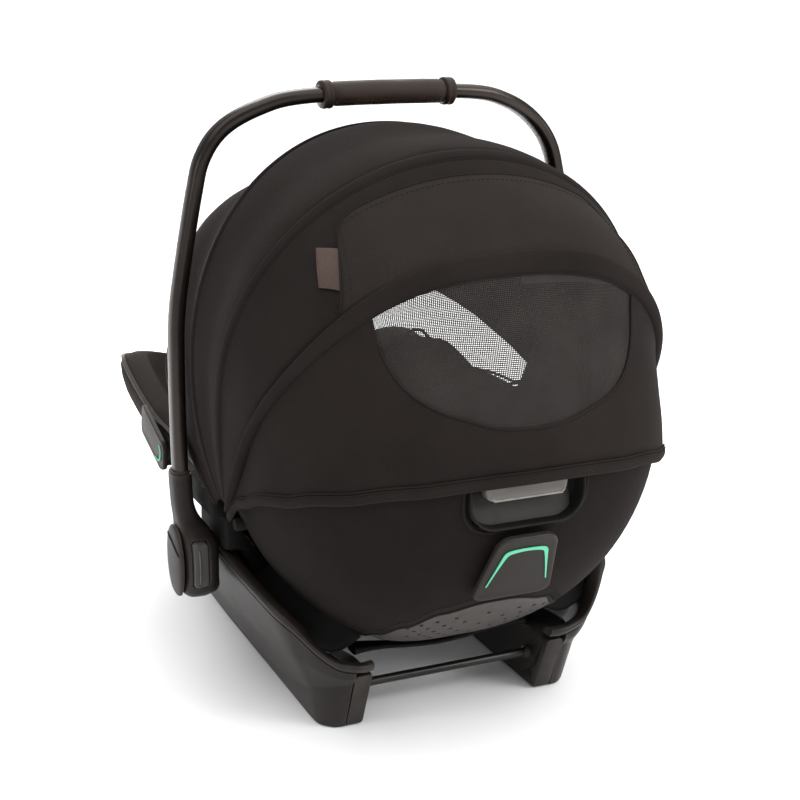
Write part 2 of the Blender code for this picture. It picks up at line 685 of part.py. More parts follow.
def inner_casing_rings(sign):
    """Sections of the inner half of the runner, with its rear face leaning back."""
    lean = 0.43
    rings = []
    for y, low, high, slant in ((-0.255, 0.014, 0.032, 0.0), (-0.232, 0.002, 0.042, 0.0),
                                (-0.180, 0.0, RUNNER_TOP, 0.0), (0.000, 0.0, RUNNER_TOP, 0.0),
                                (0.120, 0.0, RUNNER_TOP, 0.0), (0.150, 0.0, 0.0600, 0.2), (0.1800, 0.0, 0.0610, lean)):
        corner = 0.004
        ring = ((SEAM_X - GAP, low), (SEAM_X - GAP, high), (FOOT_INNER_X + corner, high),
                (FOOT_INNER_X, high - corner), (FOOT_INNER_X, low + 0.002), (FOOT_INNER_X + 0.002, low))
        rings.append([Vector((sign * x, y + slant * z, z)) for x, z in ring])
    return rings


def build_runners(cover_space):
    """Runners with the round bars and the small steel stays between them."""
    for side, sign in SIDES:
        outer = loft("rail_outer_" + side, outer_casing_rings(sign), FRAME_PLASTIC, sharp=28.0)
        combine(outer, cover_space)
        cap = loft("rail_cap_" + side, cap_rings(sign), FRAME_PLASTIC, sharp=40.0)
        combine(cap, cover_space)
        loft("rail_inner_" + side, inner_casing_rings(sign), FRAME_PLASTIC, sharp=28.0)
    reach = FOOT_INNER_X - GAP
    for name, y in (("rear_bar", 0.170), ("front_bar", -0.190)):
        loft(name, round_bar((-reach, y, BAR_Z), (reach, y, BAR_Z), BAR_RADIUS, 14), DARK_STEEL)
    for side, sign in SIDES:
        low, high = Vector((sign * 0.1080, 0.0, 0.0735)), Vector((sign * 0.1380, 0.0, 0.0850))
        fore, rear = Vector((0.0, 0.125, 0.0)), Vector((0.0, 0.148, 0.0))
        path = [low + fore, high + fore, high + rear, low + rear]
        normal = (high - low).cross(rear - fore).normalized()
        loft("cross_stay_" + side, sweep(path, section(0.0030, 0.0030, 2.0, 10), normal), STEEL)


# ---------------------------------------------------------------- hubs and handle
HUB_X0, HUB_X1 = 0.1870, 0.2170


def hub_sections():
    """Height, half depth, inner x and outer x of the moulded hub and its neck."""
    return (
        (0.0895, 0.0120, 0.1960, 0.2080), (0.0925, 0.0190, 0.1900, 0.2140), (0.0985, 0.0245, HUB_X0, HUB_X1),
        (0.1120, 0.0285, HUB_X0, HUB_X1), (0.1320, 0.0295, HUB_X0, HUB_X1), (0.1500, 0.0275, HUB_X0, HUB_X1),
        (0.1640, 0.0225, 0.1885, HUB_X1), (0.1760, 0.0165, 0.1950, 0.2205), (0.1880, 0.0138, 0.2020, 0.2218),
        (0.2170, 0.0128, 0.2050, 0.2225),
    )


def build_hub_base(tub_space):
    """Fixed boss on each side of the tub that carries the handle and the hood, clear of the side wall."""
    stations = ((0.1020, 0.100, 0.1460), (0.1300, 0.120, 0.1610), (0.1430, 0.130, 0.1675),
                (0.1450, 0.130, HUB_X0 - 0.0010), (0.1900, 0.140, HUB_X0 - 0.0010), (0.2010, 0.140, HUB_X0 - 0.0040))
    for side, sign in SIDES:
        rings = []
        for z, x0, x1 in stations:
            deep = 0.0245 - 0.12 * abs(z - 0.150)
            corners = ((x0, -deep), (x1 - 0.004, -deep), (x1, -deep + 0.005), (x1, deep - 0.005),
                       (x1 - 0.004, deep), (x0, deep))
            rings.append([Vector((sign * x, HUB_Y + y, z)) for x, y in corners])
        base = loft("hub_base_" + side, rings, SHELL_PLASTIC)
        combine(base, tub_space)


def build_hubs():
    """Turning hubs at the foot of the handle, each with a cap and a release button."""
    for side, sign in SIDES:
        rings = []
        for z, deep, x0, x1 in hub_sections():
            middle, half = 0.5 * (x0 + x1), 0.5 * (x1 - x0)
            ring = [Vector((sign * (middle + a), HUB_Y + b, z)) for a, b in section(half, deep, 3.2, 16)]
            rings.append(ring)
        hub = loft("hub_housing_" + side, rings, FRAME_PLASTIC)
        pocket = rounded_outline(0.0093, 0.1083, 0.1537, 0.003, 0.003, 2)
        tool = []
        for y in (HUB_Y + 0.0190, HUB_Y + 0.0400):
            tool.append([Vector((sign * (0.2020 + a), y, z)) for a, z in pocket])
        combine(hub, cutter("button_pocket_" + side, tool))
        place_origin(hub, (0.0, HUB_Y, HUB_Z))
        middle_z = 0.5 * (0.1083 + 0.1537)

        def lie(a, b, level, sign=sign, middle=middle_z):
            return Vector((sign * (0.2020 + a), HUB_Y + level, middle + b))

        outline = rounded_outline(0.0087, -0.0221, 0.0221, 0.003, 0.003, 3)
        button = loft("hub_button_" + side, domed_pad(outline, lie, 0.0245, 0.0325, 0.0018), GREY_PLASTIC)
        place_origin(button, (sign * 0.2020, HUB_Y + 0.0285, middle_z))
        cap = []
        for x, grow in ((HUB_X1 + GAP, 1.0), (HUB_X1 + 0.0022, 0.97), (HUB_X1 + 0.0042, 0.80), (0.2222, 0.45)):
            ring = []
            for k in range(20):
                a, b = superellipse(2.0 * math.pi * k / 20, 0.0225 * grow, 0.0325 * grow, 2.2)
                ring.append(Vector((sign * x, HUB_Y + a, 0.1270 + b)))
            cap.append(ring)
        lid = loft("hub_cap_" + side, cap, FRAME_PLASTIC)
        place_origin(lid, (0.0, HUB_Y, HUB_Z))


def handle_curve():
    """Centre line of the bent tube from the left neck over the top to the right neck."""
    half = [Vector((x, HUB_Y, z)) for x, z in HANDLE_PATH]
    other = [Vector((-p.x, p.y, p.z)) for p in reversed(half[:-1])]
    return smooth_path(half + other, 2)


def along_x(path, low, high):
    """The stretch of a path between two values of x, cut exactly at both."""
    found = []
    for one, two in zip(path, path[1:]):
        for limit in (high, low):
            if (one.x - limit) * (two.x - limit) < 0.0:
                found.append(one.lerp(two, (limit - one.x) / (two.x - one.x)))
        if low < two.x < high:
            found.append(two)
    return found


def sleeve(name, path, outer, inner, material):
    """A hollow sleeve along a path, between two section outlines."""
    outer_rings = sweep(path, outer)
    inner_rings = sweep(path, inner)
    return loft(name, outer_rings + list(reversed(inner_rings)), material, ring=True)


def build_handle():
    """Bent carry tube with a wrapped grip and its end rings."""
    path = handle_curve()
    tube = loft("handle_tube", sweep(path, section(0.5 * TUBE_THICK, 0.5 * TUBE_DEEP, 2.8, 12)), TUBE_METAL)
    place_origin(tube, (0.0, HUB_Y, HUB_Z))
    room = section(0.5 * TUBE_THICK + GAP * 2.0, 0.5 * TUBE_DEEP + GAP * 2.0, 2.8, 12)
    full = section(0.5 * RING_THICK, 0.5 * RING_THICK + 0.0015, 2.3, 12)
    small = section(0.5 * GRIP_THICK, 0.5 * GRIP_THICK + 0.0025, 2.3, 12)
    inner_end = GRIP_HALF - RING_LONG
    grip_path = along_x(path, -inner_end + GAP, inner_end - GAP)
    grip = sleeve("handle_grip", grip_path, small, room, LEATHER)
    place_origin(grip, (0.0, HUB_Y, HUB_Z))
    for side, sign in SIDES:
        low, high = sorted((sign * inner_end, sign * GRIP_HALF))
        ring_path = along_x(path, low, high)
        ring = sleeve("grip_ring_" + side, ring_path, full, room, LEATHER)
        place_origin(ring, (0.0, HUB_Y, HUB_Z))


# ---------------------------------------------------------------- hood
def arch_at(tilt):
    """Half width, height, height of the widest place and exponent of the hood's arch at a tilt."""
    for (t0, *one), (t1, *two) in zip(HOOD_ARCHES, HOOD_ARCHES[1:]):
        if tilt <= t1:
            share = (tilt - t0) / (t1 - t0)
            return [a + (b - a) * share for a, b in zip(one, two)]
    return HOOD_ARCHES[-1][1:]


def hood_point(tilt, across, lift=0.0):
    """Point on the hood: tilt of its arch in degrees, and across from -1 at one base to 1 at the other."""
    half_width, height, widest, exponent = arch_at(tilt)
    low_share = 0.5 * widest / height
    from_base = 1.0 - abs(across)
    if from_base < low_share:
        share = from_base / low_share
        up = HOOD_BASE_UP + (widest - HOOD_BASE_UP) * share
        sideways = HOOD_BASE_HALF + (half_width - HOOD_BASE_HALF) * (1.0 - (1.0 - share) ** 2) + lift
    else:
        angle = 0.5 * math.pi * (from_base - low_share) / (1.0 - low_share)
        sideways, rise = superellipse(angle, half_width + lift, height + lift - widest, exponent)
        up = widest + rise
    lean = math.radians(tilt)
    return Vector((math.copysign(sideways, across), HOOD_Y + up * math.sin(lean), HOOD_Z + up * math.cos(lean)))


def hood_patch(name, tilts, across, lift, thickness, material, rows, columns, skip=None):
    """A skin on part of the hood between two tilts and two places across."""
    grid = []
    for i in range(rows + 1):
        tilt = tilts[0] + (tilts[1] - tilts[0]) * i / rows
        row = []
        for j in range(columns + 1):
            row.append(hood_point(tilt, across[0] + (across[1] - across[0]) * j / columns, lift))
        grid.append(row)
    return sheet(name, grid, thickness, material, skip)


WINDOW_TILTS = (42.5, 60.0)
WINDOW_ACROSS = 0.40


def build_hood(cover_space):
    """Three arched hoops under fabric panels, a mesh window with a flap over it and a small tag."""
    outline = section(0.5 * HOOP_WIDE, 0.5 * HOOP_THICK, 4.0, 8)
    for name, tilt in HOOP_TILTS.items():
        path = [hood_point(tilt, -1.0 + k / 14, -HOOP_DEPTH) for k in range(29)]
        lean = math.radians(tilt)
        normal = Vector((0.0, math.cos(lean), -math.sin(lean)))
        hoop = loft("hood_hoop_" + name, sweep(path, outline, normal), STEEL)
        place_origin(hoop, (0.0, HOOD_Y, HOOD_Z))
    edge = 0.15
    wide = (-1.0, 1.0)
    front, mid, rear = HOOP_TILTS["front"], HOOP_TILTS["mid"], HOOP_TILTS["rear"]
    hood_patch("hood_front_panel", (front - 1.5, mid - edge), wide, 0.0, FABRIC, HOOD_FABRIC, 6, 24)
    hood_patch("hood_mid_panel", (mid + edge, rear - edge), wide, 0.0, FABRIC, HOOD_FABRIC, 4, 24)
    rows, columns = 10, 30
    tilts = (rear + edge, HEM_TILT)
    step = (tilts[1] - tilts[0]) / rows
    first = round((WINDOW_TILTS[0] - tilts[0]) / step)
    last = round((WINDOW_TILTS[1] - tilts[0]) / step)
    middle = columns // 2
    side = round(WINDOW_ACROSS * middle)

    def window(i, j):
        return first <= i < last and middle - side <= j < middle + side

    hood_patch("hood_rear_panel", tilts, wide, 0.0, FABRIC, HOOD_FABRIC, rows, columns, window)
    low, high = tilts[0] + first * step + 0.3, tilts[0] + last * step - 0.3
    half = side / middle - 0.006
    hood_patch("hood_window", (low, high), (-half, half), 0.0004, 0.0008, MESH_FABRIC, 4, 12)
    flap = (rear + 2.0, 36.0)
    hood_patch("window_flap", flap, (-0.46, 0.46), FABRIC + 2.0 * GAP, 0.0016, HOOD_FABRIC, 4, 16)
    hood_patch("hood_tag", (28.0, 32.5), (0.47, 0.52), FABRIC + 2.0 * GAP, 0.0014, LEATHER, 1, 2)
    for side, sign in SIDES:
        x = HUB_X0 - 0.0015
        ends = (sign * (x - 0.012), HOOD_Y, HOOD_Z), (sign * x, HOOD_Y, HOOD_Z)
        combine(loft("hood_pivot_" + side, round_bar(*ends, 0.0110, 18), SHELL_PLASTIC), cover_space)


# ---------------------------------------------------------------- the whole seat
LENGTH_SHIFT = 0.0146           # brings the middle of the seat's length to Y = 0


def build():
    """Builds every piece."""
    tub_space = cutter("tub_space", bowl_rings(-COVER_OUT, -0.020, 72, 14))
    cover_space = cutter("cover_space", bowl_rings(-COVER_OUT - COVER_THICK - 3.0 * GAP, -0.020, 72, 14))
    tub, liner, skin = build_seat_shell()
    build_insert_and_head_support()
    build_release(tub, liner, skin)
    build_belt_guides(tub_space, cover_space)
    build_harness()
    build_runners(cover_space)
    build_hub_base(tub_space)
    build_hubs()
    build_handle()
    build_hood(cover_space)
    for made in bpy.context.scene.objects:
        made.location.y += LENGTH_SHIFT


build()
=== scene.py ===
import math

import bmesh
import bpy
from mathutils import Matrix, Vector, noise


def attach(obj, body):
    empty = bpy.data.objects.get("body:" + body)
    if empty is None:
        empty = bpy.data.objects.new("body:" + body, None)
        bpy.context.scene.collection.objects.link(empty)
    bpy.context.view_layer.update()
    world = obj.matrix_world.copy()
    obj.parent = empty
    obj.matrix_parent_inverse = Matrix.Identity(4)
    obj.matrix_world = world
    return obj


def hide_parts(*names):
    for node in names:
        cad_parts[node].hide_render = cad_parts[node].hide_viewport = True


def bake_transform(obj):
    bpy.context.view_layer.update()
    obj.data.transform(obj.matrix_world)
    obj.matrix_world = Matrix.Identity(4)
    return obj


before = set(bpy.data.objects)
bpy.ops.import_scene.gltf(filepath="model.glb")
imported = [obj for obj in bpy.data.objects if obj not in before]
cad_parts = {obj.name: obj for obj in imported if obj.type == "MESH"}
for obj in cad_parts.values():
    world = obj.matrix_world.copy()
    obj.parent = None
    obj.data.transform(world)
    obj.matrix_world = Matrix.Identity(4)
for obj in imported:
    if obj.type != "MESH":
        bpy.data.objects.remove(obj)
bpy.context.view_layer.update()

# ---------------------------------------------------------------- dimensions, metres
SIDES = (("left", 1.0), ("right", -1.0))
HUB_Y = 0.0446
HOOD_Y, HOOD_Z = 0.1096, 0.180
HOOD_PIVOT = Vector((0.0, HOOD_Y, HOOD_Z))

TUB_Y, TUB_Z = 0.0946, 0.290
TUB_HALF_WIDTH, TUB_REAR, TUB_FOOT, TUB_DEPTH = 0.190, 0.2400, 0.4580, 0.235
REAR_SQUARENESS, FOOT_SQUARENESS = 3.1, 10.0
FOOT_FLARE, FOOT_DIP = 0.03, 0.030
TUB_WALL, LINER_INSET, SEAT_INSET, INSERT_INSET = 0.004, 0.0172, 0.0268, 0.0425
COVER_OUT = 0.0020
# Height of the rim at places along the seat
RIM = ((-0.3304, 0.249), (-0.1554, 0.205), (0.0146, 0.185), (0.1096, 0.225), (0.2446, 0.300), (0.3346, 0.312))

# Hood arches: tilt, half width, height, height of the widest place, exponent above it
HOOD_ARCHES = (
    (-60.0, 0.1975, 0.3620, 0.120, 2.28), (-38.0, 0.1985, 0.3610, 0.122, 2.66),
    (-25.0, 0.1985, 0.3500, 0.121, 2.18), (-13.5, 0.2060, 0.3610, 0.120, 2.06),
    (1.5, 0.2020, 0.3510, 0.135, 2.04), (15.5, 0.2045, 0.3570, 0.150, 2.02),
    (22.0, 0.2010, 0.3430, 0.150, 2.08), (36.0, 0.1965, 0.3340, 0.130, 2.25),
    (41.5, 0.1905, 0.3130, 0.120, 2.25), (50.0, 0.1890, 0.2900, 0.105, 2.32),
    (58.0, 0.1900, 0.2760, 0.085, 2.42), (67.5, 0.1920, 0.2525, 0.060, 2.65),
)
HOOD_BASE_HALF, HOOD_BASE_UP = 0.1910, 0.026
FRONT_TILT, MID_TILT, REAR_TILT, HEM_TILT = -60.0, -13.5, 16.5, 67.5
ROLL_TILT = 37.6
FABRIC = 0.0016

# The mesh window's lower edge: distance from the middle, tilt
WINDOW_EDGE = (
    (0.0, 60.2), (0.030, 59.6), (0.056, 57.7), (0.078, 55.4), (0.094, 52.5), (0.106, 48.8), (0.114, 44.5),
    (0.120, 38.6),
)
WINDOW_HALF = 0.120
WINDOW_SHARE = 0.5              # share of the columns, from the middle, that the window takes

# Left half of the handle's centre line, as x and z
HANDLE_PATH = (
    (0.2135, 0.2178), (0.2135, 0.270), (0.2120, 0.326), (0.2095, 0.363), (0.2035, 0.400), (0.1885, 0.475),
    (0.1785, 0.5095), (0.1580, 0.5350), (0.1250, 0.5530), (0.0860, 0.5615), (0.0, 0.5635),
)
TUBE_THICK, TUBE_DEEP = 0.014, 0.022
GRIP_HALF, RING_LONG = 0.067, 0.010

FOOT_INNER_X, SEAM_X, RUNNER_TOP = 0.089, 0.107, 0.052
CASING, CAP_TALL = 0.0145, 0.0105

POCKET_HALF, POCKET_LOW, POCKET_HIGH = 0.0535, 0.2290, 0.2930
POCKET_FACE = 0.3396


# ---------------------------------------------------------------- node materials
NOISE_LOW, NOISE_HIGH = 0.3, 0.7     # nearly all of a noise lies between these
WAVE_SCALE = 0.3141593               # a wave texture's scale for bands one metre apart
SPECULAR, SHEEN = "Specular IOR Level", "Sheen Weight"
GREY_DIP, GREY_LIFT = (0.8, 0.8, 0.8), (1.2, 1.2, 1.2)


class Finish:
    """A node material under construction."""

    def __init__(self, name, roughness=0.8, metallic=0.0):
        self.material = bpy.data.materials.new("look_" + name)
        self.material.use_nodes = True
        self.nodes = self.material.node_tree.nodes
        self.links = self.material.node_tree.links
        self.shader = self.nodes["Principled BSDF"]
        self.shader.inputs["Roughness"].default_value = roughness
        self.shader.inputs["Metallic"].default_value = metallic
        self.place = self.nodes.new("ShaderNodeTexCoord").outputs["Object"]

    def add(self, kind, **values):
        node = self.nodes.new(kind)
        for key, value in values.items():
            setattr(node, key, value)
        return node

    def link(self, out, socket):
        self.links.new(out, socket)

    def speckle(self, scale, detail=3.0, rough=0.5, stretch=None):
        """Noise over the surface; stretch scales the three axes."""
        place = self.place
        if stretch:
            mapping = self.add("ShaderNodeMapping")
            mapping.inputs["Scale"].default_value = stretch
            self.link(place, mapping.inputs["Vector"])
            place = mapping.outputs["Vector"]
        node = self.add("ShaderNodeTexNoise")
        node.inputs["Scale"].default_value = scale
        node.inputs["Detail"].default_value = detail
        node.inputs["Roughness"].default_value = rough
        self.link(place, node.inputs["Vector"])
        return node.outputs["Fac"]

    def ramp(self, value, stops):
        """Colour ramp from (position, colour) stops."""
        node = self.add("ShaderNodeValToRGB")
        ramp = node.color_ramp
        while len(ramp.elements) < len(stops):
            ramp.elements.new(0.5)
        for element, (at, colour) in zip(ramp.elements, stops):
            element.position = at
            element.color = (*colour, 1.0)
        self.link(value, node.inputs["Fac"])
        return node.outputs["Color"]

    def sum_up(self, one, two, operation="MULTIPLY"):
        node = self.add("ShaderNodeMath", operation=operation)
        for socket, value in zip(node.inputs, (one, two)):
            if isinstance(value, float):
                socket.default_value = value
            else:
                self.link(value, socket)
        return node.outputs["Value"]

    def remap(self, value, low, high, to_low, to_high):
        node = self.add("ShaderNodeMapRange")
        for key, number in (("From Min", low), ("From Max", high), ("To Min", to_low), ("To Max", to_high)):
            node.inputs[key].default_value = number
        self.link(value, node.inputs["Value"])
        return node.outputs["Result"]

    def blend(self, share, one, two, mode="MIX"):
        node = self.add("ShaderNodeMix", data_type="RGBA", blend_type=mode)
        if isinstance(share, float):
            node.inputs[0].default_value = share
        else:
            self.link(share, node.inputs[0])
        for socket, value in ((node.inputs[6], one), (node.inputs[7], two)):
            if isinstance(value, tuple):
                socket.default_value = (*value, 1.0)
            else:
                self.link(value, socket)
        return node.outputs[2]

    def bands(self, pitch, direction="X", turn=(0.0, 0.0, 0.0)):
        """Evenly spaced sine bands, pitch metres apart."""
        mapping = self.add("ShaderNodeMapping")
        mapping.inputs["Rotation"].default_value = turn
        self.link(self.place, mapping.inputs["Vector"])
        node = self.add("ShaderNodeTexWave", wave_type="BANDS", bands_direction=direction)
        node.inputs["Scale"].default_value = WAVE_SCALE / pitch
        self.link(mapping.outputs["Vector"], node.inputs["Vector"])
        return node.outputs["Fac"]

    def bump(self, height, distance, strength=1.0, under=None):
        node = self.add("ShaderNodeBump")
        node.inputs["Distance"].default_value = distance
        node.inputs["Strength"].default_value = strength
        self.link(height, node.inputs["Height"])
        if under is not None:
            self.link(under, node.inputs["Normal"])
        return node.outputs["Normal"]

    def mottled(self, value, dark, light):
        """Colour that changes softly with a noise."""
        return self.ramp(value, ((NOISE_LOW, dark), (NOISE_HIGH, light)))

    def varied(self, value, low, high):
        """Number that changes with a noise."""
        return self.remap(value, NOISE_LOW, NOISE_HIGH, low, high)

    def edge_wear(self, colour, lit, amount):
        """Lightens convex edges a little."""
        pointed = self.add("ShaderNodeNewGeometry").outputs["Pointiness"]
        edge = self.remap(pointed, 0.505, 0.56, 0.0, amount)
        broken = self.sum_up(edge, self.remap(self.speckle(90.0), 0.3, 0.6, 0.4, 1.0))
        return self.blend(broken, colour, lit)

    def level(self, socket, value):
        self.shader.inputs[socket].default_value = value

    def done(self, colour, rough, normal=None):
        self.link(colour, self.shader.inputs["Base Color"])
        self.link(rough, self.shader.inputs["Roughness"])
        if normal is not None:
            self.link(normal, self.shader.inputs["Normal"])
        return self.material


def fabric(name, dark, light, pitch=0.0009, depth=0.00010, sheen=0.02):
    """Fine woven cloth: crossed thread bands, soft colour change, a little sheen."""
    make = Finish(name)
    weave = make.sum_up(make.bands(pitch, "DIAGONAL"), make.bands(pitch, "DIAGONAL", (0.0, 0.0, 1.5708)))
    fine = make.speckle(650.0, 2.0, 0.6)
    colour = make.ramp(make.speckle(9.0, 4.0, 0.6), ((0.32, dark), (0.68, light)))
    threads = make.ramp(weave, ((0.0, (0.80, 0.80, 0.80)), (0.75, (1.10, 1.08, 1.06))))
    colour = make.blend(0.40, colour, threads, "MULTIPLY")
    height = make.sum_up(weave, make.sum_up(fine, 0.6), "ADD")
    make.level(SHEEN, sheen)
    make.level("Sheen Roughness", 0.45)
    make.level("Sheen Tint", (0.62, 0.54, 0.49, 1.0))
    make.level(SPECULAR, 0.06)
    soft = make.bump(make.speckle(38.0, 2.0, 0.5), 0.0012, 0.22)
    return make.done(colour, make.varied(fine, 0.78, 0.92), make.bump(height, depth, 0.8, soft))


def plastic(name, dark, light, roughness, wear):
    """Moulded plastic: a fine spark-eroded grain, faint flow marks and lighter edges."""
    make = Finish(name)
    grains = make.speckle(1500.0, 2.0, 0.6)
    flow = make.speckle(16.0, 3.0, 0.5, (1.0, 0.4, 1.0))
    colour = make.edge_wear(make.mottled(flow, dark, light), wear, 0.45)
    make.level(SPECULAR, 0.18)
    rough = make.varied(flow, roughness - 0.05, roughness + 0.05)
    rough = make.sum_up(rough, make.varied(grains, -0.03, 0.03), "ADD")
    return make.done(colour, rough, make.bump(grains, 0.00006, 0.6))


def metal(name, dark, light, roughness, stretch=(1.0, 1.0, 0.06)):
    """Anodised or plated metal: fine lengthwise brush marks and small colour changes."""
    make = Finish(name, roughness, 0.88)
    brush = make.speckle(900.0, 3.0, 0.6, stretch)
    broad = make.speckle(11.0, 2.0, 0.5)
    marks = make.mottled(brush, (0.7, 0.7, 0.7), GREY_LIFT)
    colour = make.blend(0.35, make.mottled(broad, dark, light), marks, "MULTIPLY")
    rough = make.varied(broad, roughness - 0.04, roughness + 0.05)
    rough = make.sum_up(rough, make.varied(brush, -0.03, 0.03), "ADD")
    return make.done(colour, rough, make.bump(brush, 0.00002, 0.4))


def hide(name, dark, light, roughness=0.5):
    """Leather: pebbled grain with darker creases."""
    make = Finish(name)
    cells = make.add("ShaderNodeTexVoronoi", feature="DISTANCE_TO_EDGE")
    cells.inputs["Scale"].default_value = 620.0
    make.link(make.place, cells.inputs["Vector"])
    grain = make.remap(cells.outputs["Distance"], 0.0, 0.16, 0.0, 1.0)
    broad = make.speckle(24.0, 4.0, 0.6)
    pebbles = make.ramp(grain, ((0.0, (0.45, 0.42, 0.40)), (0.6, (1.1, 1.1, 1.1))))
    colour = make.blend(0.5, make.mottled(broad, dark, light), pebbles, "MULTIPLY")
    make.level(SPECULAR, 0.2)
    creases = make.bump(make.speckle(70.0, 3.0, 0.6, (1.0, 1.0, 2.2)), 0.0006, 0.35)
    rough = make.varied(broad, roughness - 0.06, roughness + 0.08)
    return make.done(colour, rough, make.bump(grain, 0.00010, 0.7, creases))


def webbing(name, dark, light):
    """Ribbed polyester webbing."""
    make = Finish(name, 0.7)
    rib = make.sum_up(make.bands(0.0016, "Y"), make.bands(0.0011, "X"))
    colour = make.ramp(rib, ((0.0, dark), (0.9, light)))
    colour = make.blend(0.4, colour, make.mottled(make.speckle(40.0), GREY_DIP, GREY_LIFT), "MULTIPLY")
    make.level(SHEEN, 0.05)
    return make.done(colour, make.remap(rib, 0.0, 1.0, 0.75, 0.5), make.bump(rib, 0.0003, 0.8))


def netting(name, thread, pitch):
    """Open knitted net: round holes on a square grid in the piece's own surface map, threads between them."""
    make = Finish(name, 0.75)
    flat = make.add("ShaderNodeUVMap", uv_map="metres")
    parts = make.add("ShaderNodeSeparateXYZ")
    make.link(flat.outputs["UV"], parts.inputs["Vector"])
    squares = []
    for axis in ("X", "Y"):
        step = make.sum_up(parts.outputs[axis], 1.0 / pitch)
        cell = make.sum_up(make.sum_up(step, 1.0, "FRACT"), -0.5, "ADD")
        squares.append(make.sum_up(make.sum_up(cell, 1.0, "ABSOLUTE"), 2.0, "POWER"))
    radial = make.sum_up(squares[0], squares[1], "ADD")
    make.link(make.remap(radial, 0.045, 0.085, 0.0, 1.0), make.shader.inputs["Alpha"])
    colour = make.mottled(make.speckle(30.0), thread, tuple(1.4 * c for c in thread))
    make.level(SPECULAR, 0.1)
    return make.done(colour, make.varied(make.speckle(500.0), 0.65, 0.85), make.bump(radial, 0.0003, 0.6))


HOOD = fabric("hood", (0.0112, 0.0088, 0.0080), (0.0166, 0.0132, 0.0121))
FLAP = fabric("flap", (0.0165, 0.0132, 0.0120), (0.0222, 0.0180, 0.0165))
COVER = fabric("cover", (0.0086, 0.0068, 0.0062), (0.0128, 0.0102, 0.0094))
SEAT = fabric("seat", (0.0235, 0.0200, 0.0185), (0.0330, 0.0285, 0.0265), 0.0013, 0.0002, 0.03)
PAD = fabric("pad", (0.0300, 0.0270, 0.0255), (0.0420, 0.0380, 0.0360), 0.0016, 0.00025, 0.03)
PIPING = fabric("piping", (0.0110, 0.0092, 0.0085), (0.0170, 0.0142, 0.0130), 0.0008, 0.0001, 0.03)
THREAD = fabric("thread", (0.0300, 0.0250, 0.0225), (0.0420, 0.0350, 0.0320), 0.0006, 0.0001, 0.03)
FOAM = fabric("foam", (0.035, 0.035, 0.035), (0.050, 0.050, 0.050), 0.0022, 0.0004, 0.0)
NET = netting("net", (0.022, 0.0190, 0.0178), 0.0016)
BELLY = plastic("belly", (0.0380, 0.0325, 0.0300), (0.0480, 0.0415, 0.0385), 0.50, (0.08, 0.07, 0.065))
FRAME = plastic("frame", (0.0100, 0.0074, 0.0062), (0.0138, 0.0104, 0.0089), 0.44, (0.060, 0.052, 0.047))
SHELL = plastic("shell", (0.0200, 0.0172, 0.0158), (0.0260, 0.0226, 0.0210), 0.52, (0.07, 0.06, 0.055))
# Near-black; on the chassis skirts this colour is painted shade for the deep gap beside the tub.
DARK = plastic("dark", (0.0030, 0.0026, 0.0024), (0.0046, 0.0040, 0.0037), 0.8, (0.016, 0.014, 0.013))
POCKET = plastic("pocket", (0.0190, 0.0172, 0.0163), (0.0240, 0.0220, 0.0208), 0.5, (0.05, 0.046, 0.043))
GREY = plastic("grey", (0.1150, 0.1060, 0.0970), (0.1400, 0.1300, 0.1200), 0.40, (0.34, 0.32, 0.30))
BUTTON = plastic("button", (0.0480, 0.0455, 0.0440), (0.0600, 0.0570, 0.0550), 0.42, (0.12, 0.115, 0.11))
GREEN = plastic("green", (0.070, 0.420, 0.240), (0.090, 0.480, 0.280), 0.42, (0.16, 0.58, 0.38))
RED = plastic("red", (0.400, 0.016, 0.012), (0.480, 0.024, 0.018), 0.36, (0.60, 0.08, 0.06))
LEATHER = hide("leather", (0.0160, 0.0086, 0.0052), (0.0225, 0.0124, 0.0078))
TAG = hide("tag", (0.0520, 0.0330, 0.0260), (0.0660, 0.0430, 0.0340), 0.6)
STRAP = webbing("strap", (0.0100, 0.0098, 0.0095), (0.0260, 0.0250, 0.0240))
TUBE = metal("tube", (0.0300, 0.0245, 0.0215), (0.0420, 0.0345, 0.0305), 0.32)
STEEL = metal("steel", (0.30, 0.295, 0.285), (0.40, 0.395, 0.385), 0.30, (1.0, 0.06, 1.0))
BAR = metal("bar", (0.0260, 0.0245, 0.0235), (0.0380, 0.0360, 0.0345), 0.34, (0.06, 1.0, 1.0))


# ---------------------------------------------------------------- general helpers
CREASE = math.radians(50.0)
INSIDE = Vector((0.0, 0.06, 0.26))      # a place well inside the seat
ACROSS = Vector((1.0, 0.0, 0.0))
TINY = 1e-9
CLOTH_FRAMES = 20


def signed_power(value, exponent):
    """value to the power exponent, with its sign kept."""
    return math.copysign(abs(value) ** exponent, value)


def superellipse(angle, half_a, half_b, exponent):
    """Point on a superellipse; an exponent of 2 is an ellipse and more is squarer."""
    return (half_a * signed_power(math.cos(angle), 2.0 / exponent),
            half_b * signed_power(math.sin(angle), 2.0 / exponent))


def eased(points, at):
    """Value at a place, read from (place, value) points with smooth steps between them."""
    if at <= points[0][0]:
        return points[0][1]
    for (x0, v0), (x1, v1) in zip(points, points[1:]):
        if at <= x1:
            t = (at - x0) / (x1 - x0)
            return v0 + (v1 - v0) * t * t * (3.0 - 2.0 * t)
    return points[-1][1]


